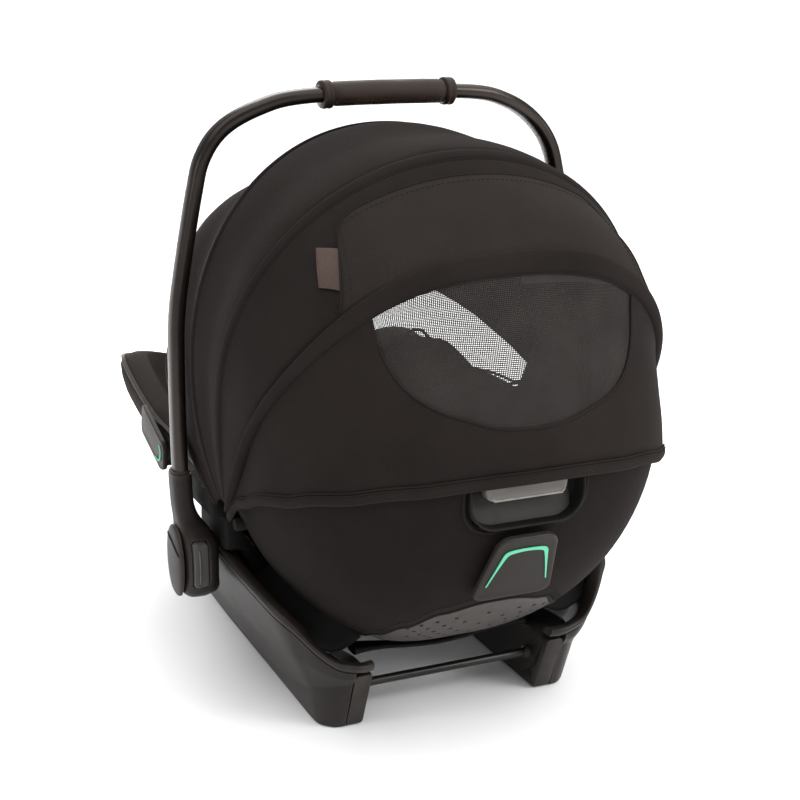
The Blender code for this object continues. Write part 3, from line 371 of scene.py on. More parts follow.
def spline(points, at):
    """Tuple of values at a place, on a smooth curve through (place, value, ...) rows."""
    count = len(points)
    if at <= points[0][0]:
        return points[0][1:]
    if at >= points[-1][0]:
        return points[-1][1:]
    i = max(k for k in range(count - 1) if points[k][0] <= at)
    p1, p2 = points[i], points[i + 1]
    p0, p3 = points[max(i - 1, 0)], points[min(i + 2, count - 1)]
    span = p2[0] - p1[0]
    t = (at - p1[0]) / span
    made = []
    for a, b, c, d in zip(p0[1:], p1[1:], p2[1:], p3[1:]):
        m1 = (c - a) / max(p2[0] - p0[0], TINY) * span
        m2 = (d - b) / max(p3[0] - p1[0], TINY) * span
        made.append((2 * t**3 - 3 * t**2 + 1) * b + (t**3 - 2 * t**2 + t) * m1
                    + (3 * t**2 - 2 * t**3) * c + (t**3 - t**2) * m2)
    return tuple(made)


def smooth_path(points, steps):
    """Catmull-Rom curve through the points, with a number of steps between each two."""
    points = [Vector(p) for p in points]
    ends = [2.0 * points[0] - points[1]] + points + [2.0 * points[-1] - points[-2]]
    path = []
    for p0, p1, p2, p3 in zip(ends, ends[1:], ends[2:], ends[3:]):
        for k in range(steps):
            t = k / steps
            path.append(0.5 * (2.0 * p1 + (p2 - p0) * t + (2.0 * p0 - 5.0 * p1 + 4.0 * p2 - p3) * t * t
                               + (3.0 * p1 - p0 - 3.0 * p2 + p3) * t * t * t))
    path.append(points[-1])
    return path


def piece(name, verts, faces, material, sharp=40.0, metres=None):
    """A named mesh object with outward faces; metres is a surface map value per vertex."""
    mesh = bpy.data.meshes.new(name)
    mesh.from_pydata([tuple(v) for v in verts], [], faces)
    shape = bmesh.new()
    shape.from_mesh(mesh)
    bmesh.ops.recalc_face_normals(shape, faces=shape.faces)
    shape.to_mesh(mesh)
    shape.free()
    if metres:
        layer = mesh.uv_layers.new(name="metres")
        for loop in mesh.loops:
            layer.data[loop.index].uv = metres[loop.vertex_index]
    mesh.materials.append(material)
    mesh.shade_smooth()
    mesh.set_sharp_from_angle(angle=math.radians(sharp))
    made = bpy.data.objects.new(name, mesh)
    bpy.context.scene.collection.objects.link(made)
    return made


def modify(made, kind, **values):
    step = made.modifiers.new(kind.lower(), kind)
    for key, value in values.items():
        setattr(step, key, value)
    return step


def baked(made):
    """Applies every modifier."""
    bpy.context.view_layer.update()
    done = bpy.data.meshes.new_from_object(made.evaluated_get(bpy.context.evaluated_depsgraph_get()))
    made.modifiers.clear()
    made.data = done
    return made


def smoothed(made):
    modify(made, "SUBSURF", levels=1, render_levels=1)
    return baked(made)


def cut(made, tool):
    """Cuts with a tool and removes the tool."""
    modify(made, "BOOLEAN", object=tool, operation="DIFFERENCE", solver="EXACT")
    baked(made)
    bpy.data.objects.remove(tool, do_unlink=True)
    return made


def bevelled(made, width, segments, angle):
    limit = math.radians(angle)
    modify(made, "BEVEL", width=width, segments=segments, limit_method="ANGLE", angle_limit=limit)
    baked(made)
    made.data.shade_smooth()
    made.data.set_sharp_from_angle(angle=CREASE)
    return made


def dress(made, node=None, body=None):
    """Hides the CAD node a piece stands for and puts the piece on the moving body it rides on."""
    if node:
        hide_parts(node)
    if body:
        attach(made, body)
    return made


def grid(down, over, place):
    """Rows of points; place takes the shares down and over the grid, each from 0 to 1."""
    return [[place(i / down, j / over) for j in range(over + 1)] for i in range(down + 1)]


def join(name, made):
    """Joins meshes of one finish into one piece."""
    whole = bmesh.new()
    for one in made:
        whole.from_mesh(one.data)
    mesh = bpy.data.meshes.new(name)
    whole.to_mesh(mesh)
    whole.free()
    mesh.materials.append(made[0].data.materials[0])
    for one in made:
        bpy.data.objects.remove(one, do_unlink=True)
    mesh.shade_smooth()
    mesh.set_sharp_from_angle(angle=CREASE)
    joined = bpy.data.objects.new(name, mesh)
    bpy.context.scene.collection.objects.link(joined)
    return joined


def loft_faces(count, size, ring=False):
    faces = []
    for i in range(count if ring else count - 1):
        a, b = i * size, ((i + 1) % count) * size
        for j in range(size):
            k = (j + 1) % size
            faces.append((a + j, a + k, b + k, b + j))
    if not ring:
        faces.append(tuple(range(size)))
        faces.append(tuple((count - 1) * size + j for j in range(size)))
    return faces


def loft(name, rings, material, ring=False, sharp=40.0):
    """Closed solid lofted through rings of points."""
    faces = loft_faces(len(rings), len(rings[0]), ring)
    return piece(name, [p for one in rings for p in one], faces, material, sharp)


def sheet(name, rows, material, thickness=0.0, wrap=False):
    """Surface through a grid of points, with its map in metres, given a thickness outward."""
    wide = len(rows[0])
    faces = []
    for i in range(len(rows) - 1):
        for j in range(wide if wrap else wide - 1):
            k = (j + 1) % wide
            faces.append((i * wide + j, i * wide + k, (i + 1) * wide + k, (i + 1) * wide + j))
    metres = []
    down = [0.0] * wide
    for i, row in enumerate(rows):
        along = 0.0
        for j, point in enumerate(row):
            if j:
                along += (point - row[j - 1]).length
            if i:
                down[j] += (point - rows[i - 1][j]).length
            metres.append((along, down[wide // 2]))
        middle = metres[i * wide + wide // 2][0]
        for j in range(wide):
            u, v = metres[i * wide + j]
            metres[i * wide + j] = (u - middle, v)
    made = piece(name, [p for row in rows for p in row], faces, material, 60.0, metres)
    return thickened(outward(made), thickness) if thickness else made


def thickened(made, thickness, offset=1.0):
    modify(made, "SOLIDIFY", thickness=thickness, offset=offset)
    return baked(made)


def outward(made):
    """Turns an open sheet's faces away from the inside of the seat."""
    if sum((face.center - INSIDE).dot(face.normal) * face.area for face in made.data.polygons) < 0.0:
        made.data.flip_normals()
    return made


def section(half_a, half_b, exponent=2.0, count=24):
    return [superellipse(2.0 * math.pi * (i + 0.5) / count, half_a, half_b, exponent) for i in range(count)]


def sweep(path, outline, side=Vector((0.0, 1.0, 0.0)), scales=None):
    """Rings of an outline carried along a path; the outline's b runs along side."""
    rings = []
    for i, point in enumerate(path):
        ahead = path[min(i + 1, len(path) - 1)] - path[max(i - 1, 0)]
        across = side.cross(ahead).normalized()
        other = ahead.cross(across).normalized()
        size = scales[i] if scales else 1.0
        rings.append([point + across * a * size + other * b * size for a, b in outline])
    return rings


def cord(name, path, radius, material, count=8, closed=False):
    """Round piping along a path, with its frame carried along so that it doesn't twist."""
    rings = []
    last = None
    total = len(path)
    for i, point in enumerate(path):
        before = path[(i - 1) % total] if closed else path[max(i - 1, 0)]
        after = path[(i + 1) % total] if closed else path[min(i + 1, total - 1)]
        ahead = (after - before).normalized()
        last = (last - ahead * last.dot(ahead)).normalized() if last else ahead.orthogonal().normalized()
        other = ahead.cross(last)
        size = radius if closed or 0 < i < total - 1 else 0.4 * radius
        turns = [2.0 * math.pi * k / count for k in range(count)]
        rings.append([point + last * (math.cos(t) * size) + other * (math.sin(t) * size) for t in turns])
    return loft(name, rings, material, closed, 60.0)


def length_along(path):
    total = [0.0]
    for one, two in zip(path, path[1:]):
        total.append(total[-1] + (two - one).length)
    return total


def at_length(path, marks, want):
    for i in range(len(path) - 1):
        if marks[i + 1] >= want:
            return path[i].lerp(path[i + 1], (want - marks[i]) / max(marks[i + 1] - marks[i], TINY))
    return path[-1]


def stitches(name, path, outs, material, long=0.0026, pitch=0.0042, wide=0.0007):
    """A row of thread stitches along a path; outs are the surface's outward directions on it."""
    marks = length_along(path)
    verts, faces = [], []
    for k in range(int(marks[-1] / pitch)):
        one = at_length(path, marks, (k + 0.5) * pitch - 0.5 * long)
        two = at_length(path, marks, (k + 0.5) * pitch + 0.5 * long)
        out = outs[min(range(len(path)), key=lambda i, m=one: (path[i] - m).length_squared)]
        side = out.cross((two - one).normalized()).normalized() * wide * 0.5
        rise = out * wide * 0.45
        base = len(verts)
        middle = one.lerp(two, 0.5) + rise
        line = ((one, 0.2), (one.lerp(middle, 0.5), 1.0), (two.lerp(middle, 0.5), 1.0), (two, 0.2))
        for point, size in line:
            low = rise * size
            verts += [point + side * size - low, point + low, point - side * size - low]
        faces += [tuple(base + k for k in face) for face in loft_faces(4, 3)]
    return piece(name, verts, faces, material)


def rounded_outline(half_wide, low, high, corner_low, corner_high, steps):
    """Rounded rectangle, symmetric about its upright middle line, as pairs in counter-clockwise order."""
    corners = ((half_wide - corner_low, low + corner_low, corner_low, -90.0),
               (half_wide - corner_high, high - corner_high, corner_high, 0.0),
               (-half_wide + corner_high, high - corner_high, corner_high, 90.0),
               (-half_wide + corner_low, low + corner_low, corner_low, 180.0))
    points = []
    for x, z, radius, start in corners:
        for k in range(steps + 1):
            angle = math.radians(start + 90.0 * k / steps)
            points.append((x + radius * math.cos(angle), z + radius * math.sin(angle)))
    return points


def rounded_ring(points, radius, steps):
    """Ring of points with each corner replaced by a small curve."""
    made = []
    count = len(points)
    for i, corner in enumerate(points):
        before, after = points[i - 1], points[(i + 1) % count]
        one = corner + (before - corner).normalized() * min(radius, 0.45 * (before - corner).length)
        two = corner + (after - corner).normalized() * min(radius, 0.45 * (after - corner).length)
        for k in range(steps + 1):
            t = k / steps
            made.append(one * (1 - t) ** 2 + corner * 2 * t * (1 - t) + two * t * t)
    return made


def plate(name, outline, lie, low, high, edge, material, steps=4, dish=0.0):
    """A plate with round edges: lie(a, b, level) places the outline between two levels."""
    def ring(level, drawn):
        shares = [1.0 - drawn / math.hypot(a, b) for a, b in outline]
        return [lie(a * share, b * share, level) for (a, b), share in zip(outline, shares)]

    turns = [0.5 * math.pi * k / steps for k in range(steps + 1)]
    rings = [ring(low + edge * (1.0 - math.cos(t)), edge * (1.0 - math.sin(t))) for t in turns]
    rings += [ring(high - edge * (1.0 - math.cos(t)), edge * (1.0 - math.sin(t))) for t in reversed(turns)]
    if dish:
        smallest = min(math.hypot(a, b) for a, b in outline)
        rings.append(ring(high - dish, edge + 0.10 * smallest + 0.5 * dish))
        rings.append(ring(high - dish, edge + 0.35 * smallest))
    return loft(name, rings, material)


def puffed(made, voxel, pressure, cap):
    """Fills a soft piece with air by a cloth simulation, and keeps every point within the cap."""
    modify(made, "REMESH", mode="VOXEL", voxel_size=voxel, use_smooth_shade=True)
    baked(made)
    start = [v.co.copy() for v in made.data.vertices]
    cloth = modify(made, "CLOTH")
    settings = {"quality": 5, "mass": 0.2, "tension_stiffness": 12.0, "compression_stiffness": 12.0,
                "shear_stiffness": 6.0, "bending_stiffness": 0.6, "use_pressure": True,
                "uniform_pressure_force": pressure}
    for key, value in settings.items():
        setattr(cloth.settings, key, value)
    cloth.settings.effector_weights.gravity = 0.0
    cloth.collision_settings.use_collision = False
    scene = bpy.context.scene
    for number in range(1, CLOTH_FRAMES + 1):
        scene.frame_set(number)
    shaped = made.evaluated_get(bpy.context.evaluated_depsgraph_get()).to_mesh()
    end = [v.co.copy() for v in shaped.vertices]
    made.evaluated_get(bpy.context.evaluated_depsgraph_get()).to_mesh_clear()
    made.modifiers.clear()
    scene.frame_set(1)
    for vertex, one, two in zip(made.data.vertices, start, end):
        move = two - one
        if move.length > cap:
            move *= cap / move.length
        vertex.co = one + move
    return smoothed(made)


# ---------------------------------------------------------------- tub
PLAN_DROP = 0.3                 # drop at which the plan of the tub is measured
FINE_STEPS = 1440
BOWL_KEEL, BOWL_ROWS, BOWL_COLUMNS = math.radians(84.0), 14, 120
# Share of the way from the back to a side, drop of the outer fabric's lower edge in degrees
COVER_EDGE = ((0.0, 37.0), (0.18, 39.5), (0.40, 45.5), (0.62, 52.0), (0.86, 60.0), (1.0, 60.0))
COVER_THICK, COVER_SEAM = 0.0024, 0.040
BELLY_LOW, BELLY_FIRST, BELLY_SPAN = 76.0, 47.0, 86.0
HOLE_ROWS, HOLE_COLUMNS, HOLE_RADIUS, EIGHTH_TURN = 5, 9, 0.0020, 0.7854
HOLE_TURN, HOLE_FIRST, HOLE_PITCH = 5.6, 43.5, 3.2


def tub_point(angle, drop, inset=0.0):
    """Point on the tub's bowl: angle round the plan, drop from the widest level down to the keel."""
    rearward = math.sin(angle) > 0.0
    squareness = REAR_SQUARENESS if rearward else FOOT_SQUARENESS
    length = (TUB_REAR if rearward else TUB_FOOT) - inset
    x, y = superellipse(angle, TUB_HALF_WIDTH - inset, length, squareness)
    level = math.cos(drop)
    if not rearward:
        x *= 1.0 + FOOT_FLARE * (y / TUB_FOOT) ** 2
    return Vector((x * level, TUB_Y + y * level, TUB_Z - (TUB_DEPTH - inset) * math.sin(drop)))


def rim_drop(angle, lower=0.0, inset=0.0):
    """Drop at which the bowl meets its rim height, or a height lower than that."""
    drop = PLAN_DROP
    for _ in range(6):
        edge = tub_point(angle, drop, inset)
        foot = eased(((-0.3554, 1.0), (-0.2354, 0.0)), edge.y)
        dip = FOOT_DIP * (1.0 - (edge.x / TUB_HALF_WIDTH) ** 2) * foot
        rim = eased(RIM, edge.y) - dip - lower
        drop = math.asin(max(-0.3, min(0.98, (TUB_Z - rim) / (TUB_DEPTH - inset))))
    return drop


def even_angles(count, first=0.0, last=360.0):
    """Angles round the plan whose points lie about evenly along it."""
    fine = [math.radians(first + (last - first) * k / FINE_STEPS) for k in range(FINE_STEPS + 1)]
    marks = length_along([tub_point(a, PLAN_DROP) for a in fine])
    made = []
    i = 0
    for k in range(count):
        want = marks[-1] * (k + 0.5) / count if last - first > 359.0 else marks[-1] * k / (count - 1)
        while i < FINE_STEPS - 1 and marks[i + 1] < want:
            i += 1
        t = (want - marks[i]) / max(marks[i + 1] - marks[i], TINY)
        made.append(fine[i] + (fine[i + 1] - fine[i]) * min(max(t, 0.0), 1.0))
    return made


def bowl(name, outer, inner, lower, material):
    """Closed bowl between two insets, its rim lowered."""
    angles = even_angles(BOWL_COLUMNS)

    def point(inset, share, angle):
        return tub_point(angle, BOWL_KEEL + (rim_drop(angle, lower) - BOWL_KEEL) * share, inset)

    shares = [i / BOWL_ROWS for i in range(BOWL_ROWS + 1)]
    outside = [[point(outer, share, a) for a in angles] for share in shares]
    inside = [[point(inner, share, a) for a in angles] for share in shares]
    return loft(name, outside + inside[::-1], material, sharp=50.0)


def cover_drops(angle):
    """Lower and upper edge of the outer fabric: raised over the belly plate at the back."""
    return math.radians(eased(COVER_EDGE, abs(math.cos(angle)))), rim_drop(angle, 0.003)


def tub_out(angle, drop):
    """Outward direction of the tub's surface."""
    middle = tub_point(angle, drop)
    side = tub_point(angle + 0.01, drop) - middle
    up = tub_point(angle, drop - 0.01) - middle
    out = side.cross(up).normalized()
    return out if out.dot(middle - Vector((0.0, TUB_Y, TUB_Z))) > 0.0 else -out


def pocket_outline(grow, steps=8):
    low, high = POCKET_LOW - grow, POCKET_HIGH + grow
    return rounded_outline(POCKET_HALF + grow, low, high, 0.025 + grow, 0.006 + max(grow, -0.004), steps)


def pocket_tool():
    rings = [[Vector((x, y, z)) for x, z in pocket_outline(0.0008)] for y in (0.3190, 0.3600)]
    return loft("pocket_tool", rings, DARK)


def belly_point(share, turn):
    angle = math.radians(BELLY_FIRST + BELLY_SPAN * turn)
    low, high = math.radians(BELLY_LOW), cover_drops(angle)[0] + math.radians(0.4)
    return tub_point(angle, low + (high - low) * share, -COVER_OUT)


def belly_hole(row, column):
    """Tool for one of the belly plate's holes; every other row is set over by half a step."""
    angle = math.radians(90.0 + (column - HOLE_COLUMNS // 2 + 0.5 * (row % 2)) * HOLE_TURN)
    drop = math.radians(HOLE_FIRST + row * HOLE_PITCH + HOLE_PITCH * (math.cos(angle) / 0.36) ** 2)
    out = tub_out(angle, drop)
    centre = tub_point(angle, drop, -COVER_OUT)
    side = out.orthogonal().normalized()
    other = out.cross(side)
    turns = [t * EIGHTH_TURN for t in range(8)]
    ring = [side * (HOLE_RADIUS * math.cos(t)) + other * (HOLE_RADIUS * math.sin(t)) for t in turns]
    return loft("hole", [[centre + out * level + p for p in ring] for level in (-0.004, 0.006)], DARK)


def build_tub():
    """Hard tub, foam, outer fabric with its hems, and the perforated belly plate."""
    tub = cut(bowl("tub_shell", 0.0, TUB_WALL, 0.0, SHELL), pocket_tool())
    dress(tub, "shell_tub")
    liner = cut(bowl("tub_liner", TUB_WALL + 0.003, LINER_INSET, 0.006, FOAM), pocket_tool())
    dress(liner, "foam_liner")
    edges = [(angle, *cover_drops(angle)) for angle in even_angles(121, 1.5, 178.5)]
    rows = []
    for i in range(19):
        rows.append([tub_point(a, low + (high - low) * i / 18, -COVER_OUT) for a, low, high in edges])
    skin = cut(sheet("tub_cover", rows, COVER, COVER_THICK), pocket_tool())
    dress(skin, "shell_cover")
    path = [tub_point(a, low + 0.012, -COVER_OUT - 0.0012) for a, low, _ in edges]
    hem = cord("tub_cover_hem", path, 0.0022, PIPING)
    path = [tub_point(a, low - COVER_SEAM, -COVER_OUT - COVER_THICK) for a, low, _ in edges]
    outs = [tub_out(a, low - COVER_SEAM) for a, low, _ in edges]
    seam = stitches("tub_cover_stitches", path, outs, PIPING)
    belly = sheet("belly_panel", grid(12, 40, belly_point), BELLY, 0.0022)
    cut(belly, join("holes", [belly_hole(i, k) for i in range(HOLE_ROWS) for k in range(HOLE_COLUMNS)]))
    belly.data.set_sharp_from_angle(angle=math.radians(30.0))
    dress(belly, "belly_plate")
    return [tub, liner, skin, hem, seam, belly]


COVER_CORNER = 0.004                # how far the padded cover's top lies under the rim
COVER_TOP = ((0.0235, 0.0022), (0.0180, 0.0042), (0.0125, 0.0046), (0.0065, 0.0028), (0.0018, -0.0012))
COVER_STEPS, COVER_REACH = (0.004, 0.012, 0.022, 0.032, 0.040, 0.046), 0.046


def foot_share(angle):
    """How much of the rolled cover there is at an angle: all of it round the foot, none behind the hubs."""
    return eased(((-0.02, 1.0), (0.10, 0.0)), tub_point(angle, PLAN_DROP).y - HUB_Y + 0.02)


def seat_cover_point(angle, share):
    """Inner face of the padded cover from the keel to the rim, with a sewn channel and side seams."""
    keel = math.radians(86.0)
    drop = keel + (rim_drop(angle, COVER_CORNER) - keel) * share
    channel = 0.0028 * math.exp(-((math.degrees(drop) - 58.0) / 1.6) ** 2)
    seam = 0.0022 * math.exp(-((abs(math.cos(angle)) - 0.80) / 0.018) ** 2) * share
    return tub_point(angle, drop, SEAT_INSET - 0.002 - channel - seam)


def rolled_point(angle, step):
    """Outer face of the padded cover, a step below the rim."""
    ahead, part = foot_share(angle), step / COVER_REACH
    lower = COVER_CORNER + step * ahead + 0.0006 * part
    return tub_point(angle, rim_drop(angle, lower), -0.0005 - 0.0035 * math.sin(math.pi * part) * ahead)


def build_seat_cover():
    """Padded cover inside the tub, rolled over its rim and down outside the foot half, with its piping."""
    angles = even_angles(200)
    rows = [[seat_cover_point(a, i / 16) for a in angles] for i in range(17)]
    for inset, up in COVER_TOP:
        rows.append([tub_point(a, rim_drop(a, COVER_CORNER), inset) + Vector((0.0, 0.0, up)) for a in angles])
    rows += [[rolled_point(a, step) for a in angles] for step in COVER_STEPS]
    cover = thickened(sheet("seat_pad_cover", rows, SEAT, wrap=True), 0.0022, 0.0)
    dress(cover, "seat_cover")
    piping = []
    for inset, up, deep in ((0.0026, 0.0006, 0.0), (-0.0030, 0.0, 0.0440)):
        drops = [rim_drop(a, COVER_CORNER + deep * foot_share(a)) for a in angles]
        path = [tub_point(a, drop, inset) + Vector((0.0, 0.0, up)) for a, drop in zip(angles, drops)]
        piping.append(cord("rim_piping", path, 0.0013, PIPING, closed=True))
    return [cover, join("seat_pad_piping", piping)]


# ---------------------------------------------------------------- seat furniture
def seat_height(x, y, inset=INSERT_INSET):
    """Height of the insert's upper face at a place in plan."""
    ahead = y < TUB_Y
    length = (TUB_FOOT if ahead else TUB_REAR) - inset
    squareness = FOOT_SQUARENESS if ahead else REAR_SQUARENESS
    out = (abs(x) / (TUB_HALF_WIDTH - inset)) ** squareness + (abs(y - TUB_Y) / length) ** squareness
    level = min(0.999, out ** (1.0 / squareness))
    return TUB_Z - (TUB_DEPTH - inset) * math.sqrt(1.0 - level * level)


PAD_WIDE, PAD_THICK = 0.044, 0.0104
STRAP_WIDE, STRAP_THICK, STRAP_LIFT = 0.030, 0.0016, 0.0048
PAD_LIFT = STRAP_LIFT + 0.5 * (PAD_THICK + STRAP_THICK) + 0.0030


def lying_path(points, lift):
    """Path over the seat through plan points, lifted square off it."""
    base = smooth_path([(x, y, seat_height(abs(x) + 0.5 * PAD_WIDE, y)) for x, y in points], 8)
    path = []
    for i, point in enumerate(base):
        ahead = base[min(i + 1, len(base) - 1)] - base[max(i - 1, 0)]
        away = ACROSS.cross(ahead).normalized()
        path.append(point + away * math.copysign(lift, away.z))
    return path


def ribbon(name, path, width):
    """Flat webbing with thicker, rounded selvedges along a path, lying across X."""
    half = ((-0.5, 0.55), (-0.44, 1.2), (-0.38, 0.9), (0.38, 0.9), (0.44, 1.2), (0.5, 0.55))
    outline = [(0.5 * STRAP_THICK * share, b * width) for b, share in half]
    outline += [(-a, b) for a, b in reversed(outline)]
    return loft(name, sweep(path, outline, ACROSS), STRAP, sharp=70.0)


def block(name, centre, size, tilt, material, corner, edge, at=0.0, dish=0.0):
    """A rounded block turned about X, moved along its own upward direction; size is (x, y, z)."""
    turn = Matrix.Rotation(math.radians(tilt), 4, "X")
    outline = rounded_outline(0.5 * size[0], -0.5 * size[1], 0.5 * size[1], corner, corner, 6)

    def lie(a, b, level):
        return Vector(centre) + turn @ Vector((a, b, level + at))

    return plate(name, outline, lie, -0.5 * size[2], 0.5 * size[2], edge, material, dish=dish)


# Degrees round from the back of the head, height
HEAD_LEVELS = (
    (0.0, 0.294), (8.0, 0.297), (30.0, 0.345), (46.0, 0.325), (66.0, 0.272), (90.0, 0.240), (120.0, 0.230),
)
HEAD_HALF, HEAD_LONG, HEAD_THICK, HEAD_TALL = 0.112, 0.194, 0.0145, 0.041


def head_point(share):
    """Centre line of the horseshoe head support, highest beside the head."""
    turn = -30.0 + 240.0 * share
    x, y = superellipse(math.radians(turn), HEAD_HALF, HEAD_LONG, 2.9)
    return Vector((x, TUB_Y + y, eased(HEAD_LEVELS, abs(turn - 90.0))))


def insert_point(angle, share):
    low = math.radians(74.0)
    top = min(math.radians(62.0), rim_drop(angle, 0.100, INSERT_INSET))
    return tub_point(angle, low + (top - low) * share, INSERT_INSET)


def build_cushions():
    """Insert in the bowl of the seat and the horseshoe head support."""
    angles = even_angles(90, -20.0, 200.0)
    rows = [[insert_point(a, i / 14) for a in angles] for i in range(15)]
    insert = outward(sheet("insert_cushion", rows, PAD))
    insert = puffed(thickened(insert, INSERT_INSET - SEAT_INSET - 0.0050), 0.005, 2.0, 0.004)
    dress(insert, "infant_insert")
    path = [head_point(k / 60) for k in range(61)]
    marks = length_along(path)
    ends = [min(1.0, min(m, marks[-1] - m) / 0.03) for m in marks]
    scales = [min(1.0, 0.55 + 0.45 * math.sin(end * math.pi / 2)) for end in ends]
    rings = sweep(path, section(HEAD_THICK, HEAD_TALL, 2.6, 24), Vector((0.0, 0.0, 1.0)), scales)
    head = puffed(loft("head_cushion", rings, PAD), 0.005, 4.0, 0.005)
    dress(head, "head_support")
    edge = [p + Vector((0.0, 0.0, (HEAD_TALL + 0.0022) * size)) for p, size in zip(path, scales)]
    return [insert, head, cord("head_cushion_piping", edge, 0.0013, PIPING)]


STRAP_ROUTE = ((0.047, 0.2526), (0.047, 0.1946), (0.046, 0.1246), (0.038, 0.0546), (0.024, 0.0026))
PAD_ROUTE = ((0.047, 0.2276), (0.047, 0.1846), (0.0465, 0.1416))
BUCKLE_Y, CLIP_Y, ADJUSTER_Y = -0.0264, 0.0896, -0.2274
PAD_FILL = (0.0035, 3.0, 0.0012)        # voxel, pressure and cap of the small pads' cloth simulation


def build_shoulders():
    """Both shoulder straps and their pads."""
    made = []
    for side, sign in SIDES:
        path = lying_path([(sign * x, y) for x, y in STRAP_ROUTE], STRAP_LIFT)
        strap = ribbon("harness_strap_" + side, path, STRAP_WIDE)
        dress(strap, "shoulder_strap_" + side)
        path = lying_path([(sign * x, y) for x, y in PAD_ROUTE], PAD_LIFT)
        outline = section(0.5 * PAD_THICK - 0.0012, 0.5 * PAD_WIDE - 0.002, 3.0, 20)
        scales = [min(1.0, 0.80 + 0.2 * min(i, len(path) - 1 - i) / 3) for i in range(len(path))]
        pad = puffed(loft("harness_pad_" + side, sweep(path, outline, ACROSS, scales), PAD), *PAD_FILL)
        dress(pad, "shoulder_pad_" + side)
        made += [strap, pad]
    return made


def build_buckle():
    """Crotch pad, its strap, and the buckle with its red button."""
    lift = seat_height(0.0, -0.0304)
    centre = (0.0, -0.0634, lift + 0.0075)
    crotch = block("crotch_cushion", centre, (0.053, 0.067, 0.0080), -4.0, PAD, 0.014, 0.0035)
    crotch = puffed(crotch, *PAD_FILL)
    dress(crotch, "crotch_pad")
    path = smooth_path([Vector((0.0, y, lift + 0.0165)) for y in (-0.0974, -0.0804, -0.0534)], 6)
    strap = dress(ribbon("crotch_webbing", path, STRAP_WIDE), "crotch_strap")
    centre = (0.0, BUCKLE_Y, lift + 0.0230)
    buckle = block("buckle_case", centre, (0.044, 0.050, 0.0180), 0.0, FRAME, 0.012, 0.0055)
    cut(buckle, block("buckle_room", centre, (0.0234, 0.0194, 0.0120), 0.0, DARK, 0.0045, 0.0003, 0.0090))
    dress(buckle, "buckle_body")
    size = (0.0222, 0.0182, 0.0062)
    press = block("buckle_press_button", centre, size, 0.0, RED, 0.004, 0.0016, 0.0090, 0.0006)
    dress(press, "buckle_button", "harness_button")
    return [crotch, strap, buckle]


def build_clip():
    """Two-piece chest clip with its latch."""
    level = seat_height(0.042 + 0.5 * PAD_WIDE, CLIP_Y)
    parts = []
    size = (0.0552, 0.034, 0.0070)
    for x in (0.0284, -0.0284):
        centre = (x, CLIP_Y, level + 0.0120)
        parts.append(block("clip_half", centre, size, 3.0, FRAME, 0.011, 0.0024, 0.0, 0.0007))
    centre = (0.0, CLIP_Y, level + 0.0132)
    parts.append(block("clip_latch", centre, (0.020, 0.020, 0.0066), 3.0, FRAME, 0.005, 0.0018))
    return dress(join("chest_clip_case", parts), "chest_clip")


def build_adjuster():
    """Adjuster strap, bezel and press key at the front of the seat."""
    places = (-0.2004, -0.1704, -0.1404, -0.1104)
    path = [Vector((0.0, y, seat_height(0.0, y, SEAT_INSET) + 0.0050)) for y in places]
    tail = dress(ribbon("adjuster_webbing", smooth_path(path, 6), 0.024), "adjuster_strap")
    ahead, behind = (seat_height(0.0, ADJUSTER_Y + reach, SEAT_INSET) for reach in (-0.020, 0.020))
    tilt = math.degrees(math.atan2(behind - ahead, 0.040))
    centre = (0.0, ADJUSTER_Y, 0.5 * (ahead + behind) + 0.0085)
    bezel = block("adjuster_case", centre, (0.046, 0.038, 0.0100), tilt, FRAME, 0.012, 0.0030)
    cut(bezel, block("adjuster_room", centre, (0.0234, 0.0234, 0.0110), tilt, DARK, 0.0045, 0.0003, 0.0048))
    dress(bezel, "adjuster_bezel")
    size = (0.0222, 0.0222, 0.0052)
    key = block("adjuster_press_key", centre, size, tilt, GREY, 0.004, 0.0015, 0.0048, 0.0006)
    dress(key, "adjuster_button", "adjuster_key")
    return [tail, bezel]


# How far the pocket's wall lies outside its outline, and how far out from its face
POCKET_PROFILE = (
    (0.0, -0.0160), (0.0, -0.0010), (0.0002, 0.0002), (-0.0004, 0.0008), (-0.0014, 0.0006),
    (-0.0020, -0.0008), (-0.0024, -0.0040), (-0.0030, -0.0115), (-0.0044, -0.0140), (-0.0074, -0.0150),
)
TRAY_LOW, TRAY_HIGH = 0.2315, 0.2600
LEVER_HALF, LEVER_Z, LEVER_BACK, LEVER_FACE = 0.0385, 0.2660, 0.3262, 0.3375


def tray_point(a, b, level):
    return Vector((a, POCKET_FACE - 0.0075 - 0.22 * (b - TRAY_LOW) + level - 0.9 * a * a, b))


def lever_point(a, b, level):
    """Place on the release handle: bowed slightly, with a rounded lip along its lower edge."""
    bow = a / LEVER_HALF
    lip = 0.0016 * math.exp(-((b + 0.0100) / 0.0022) ** 2) if level > 0.334 else 0.0
    return Vector((a, level + lip + 0.0010 * math.cos(1.5 * bow), LEVER_Z + b - 0.0010 * bow * bow))


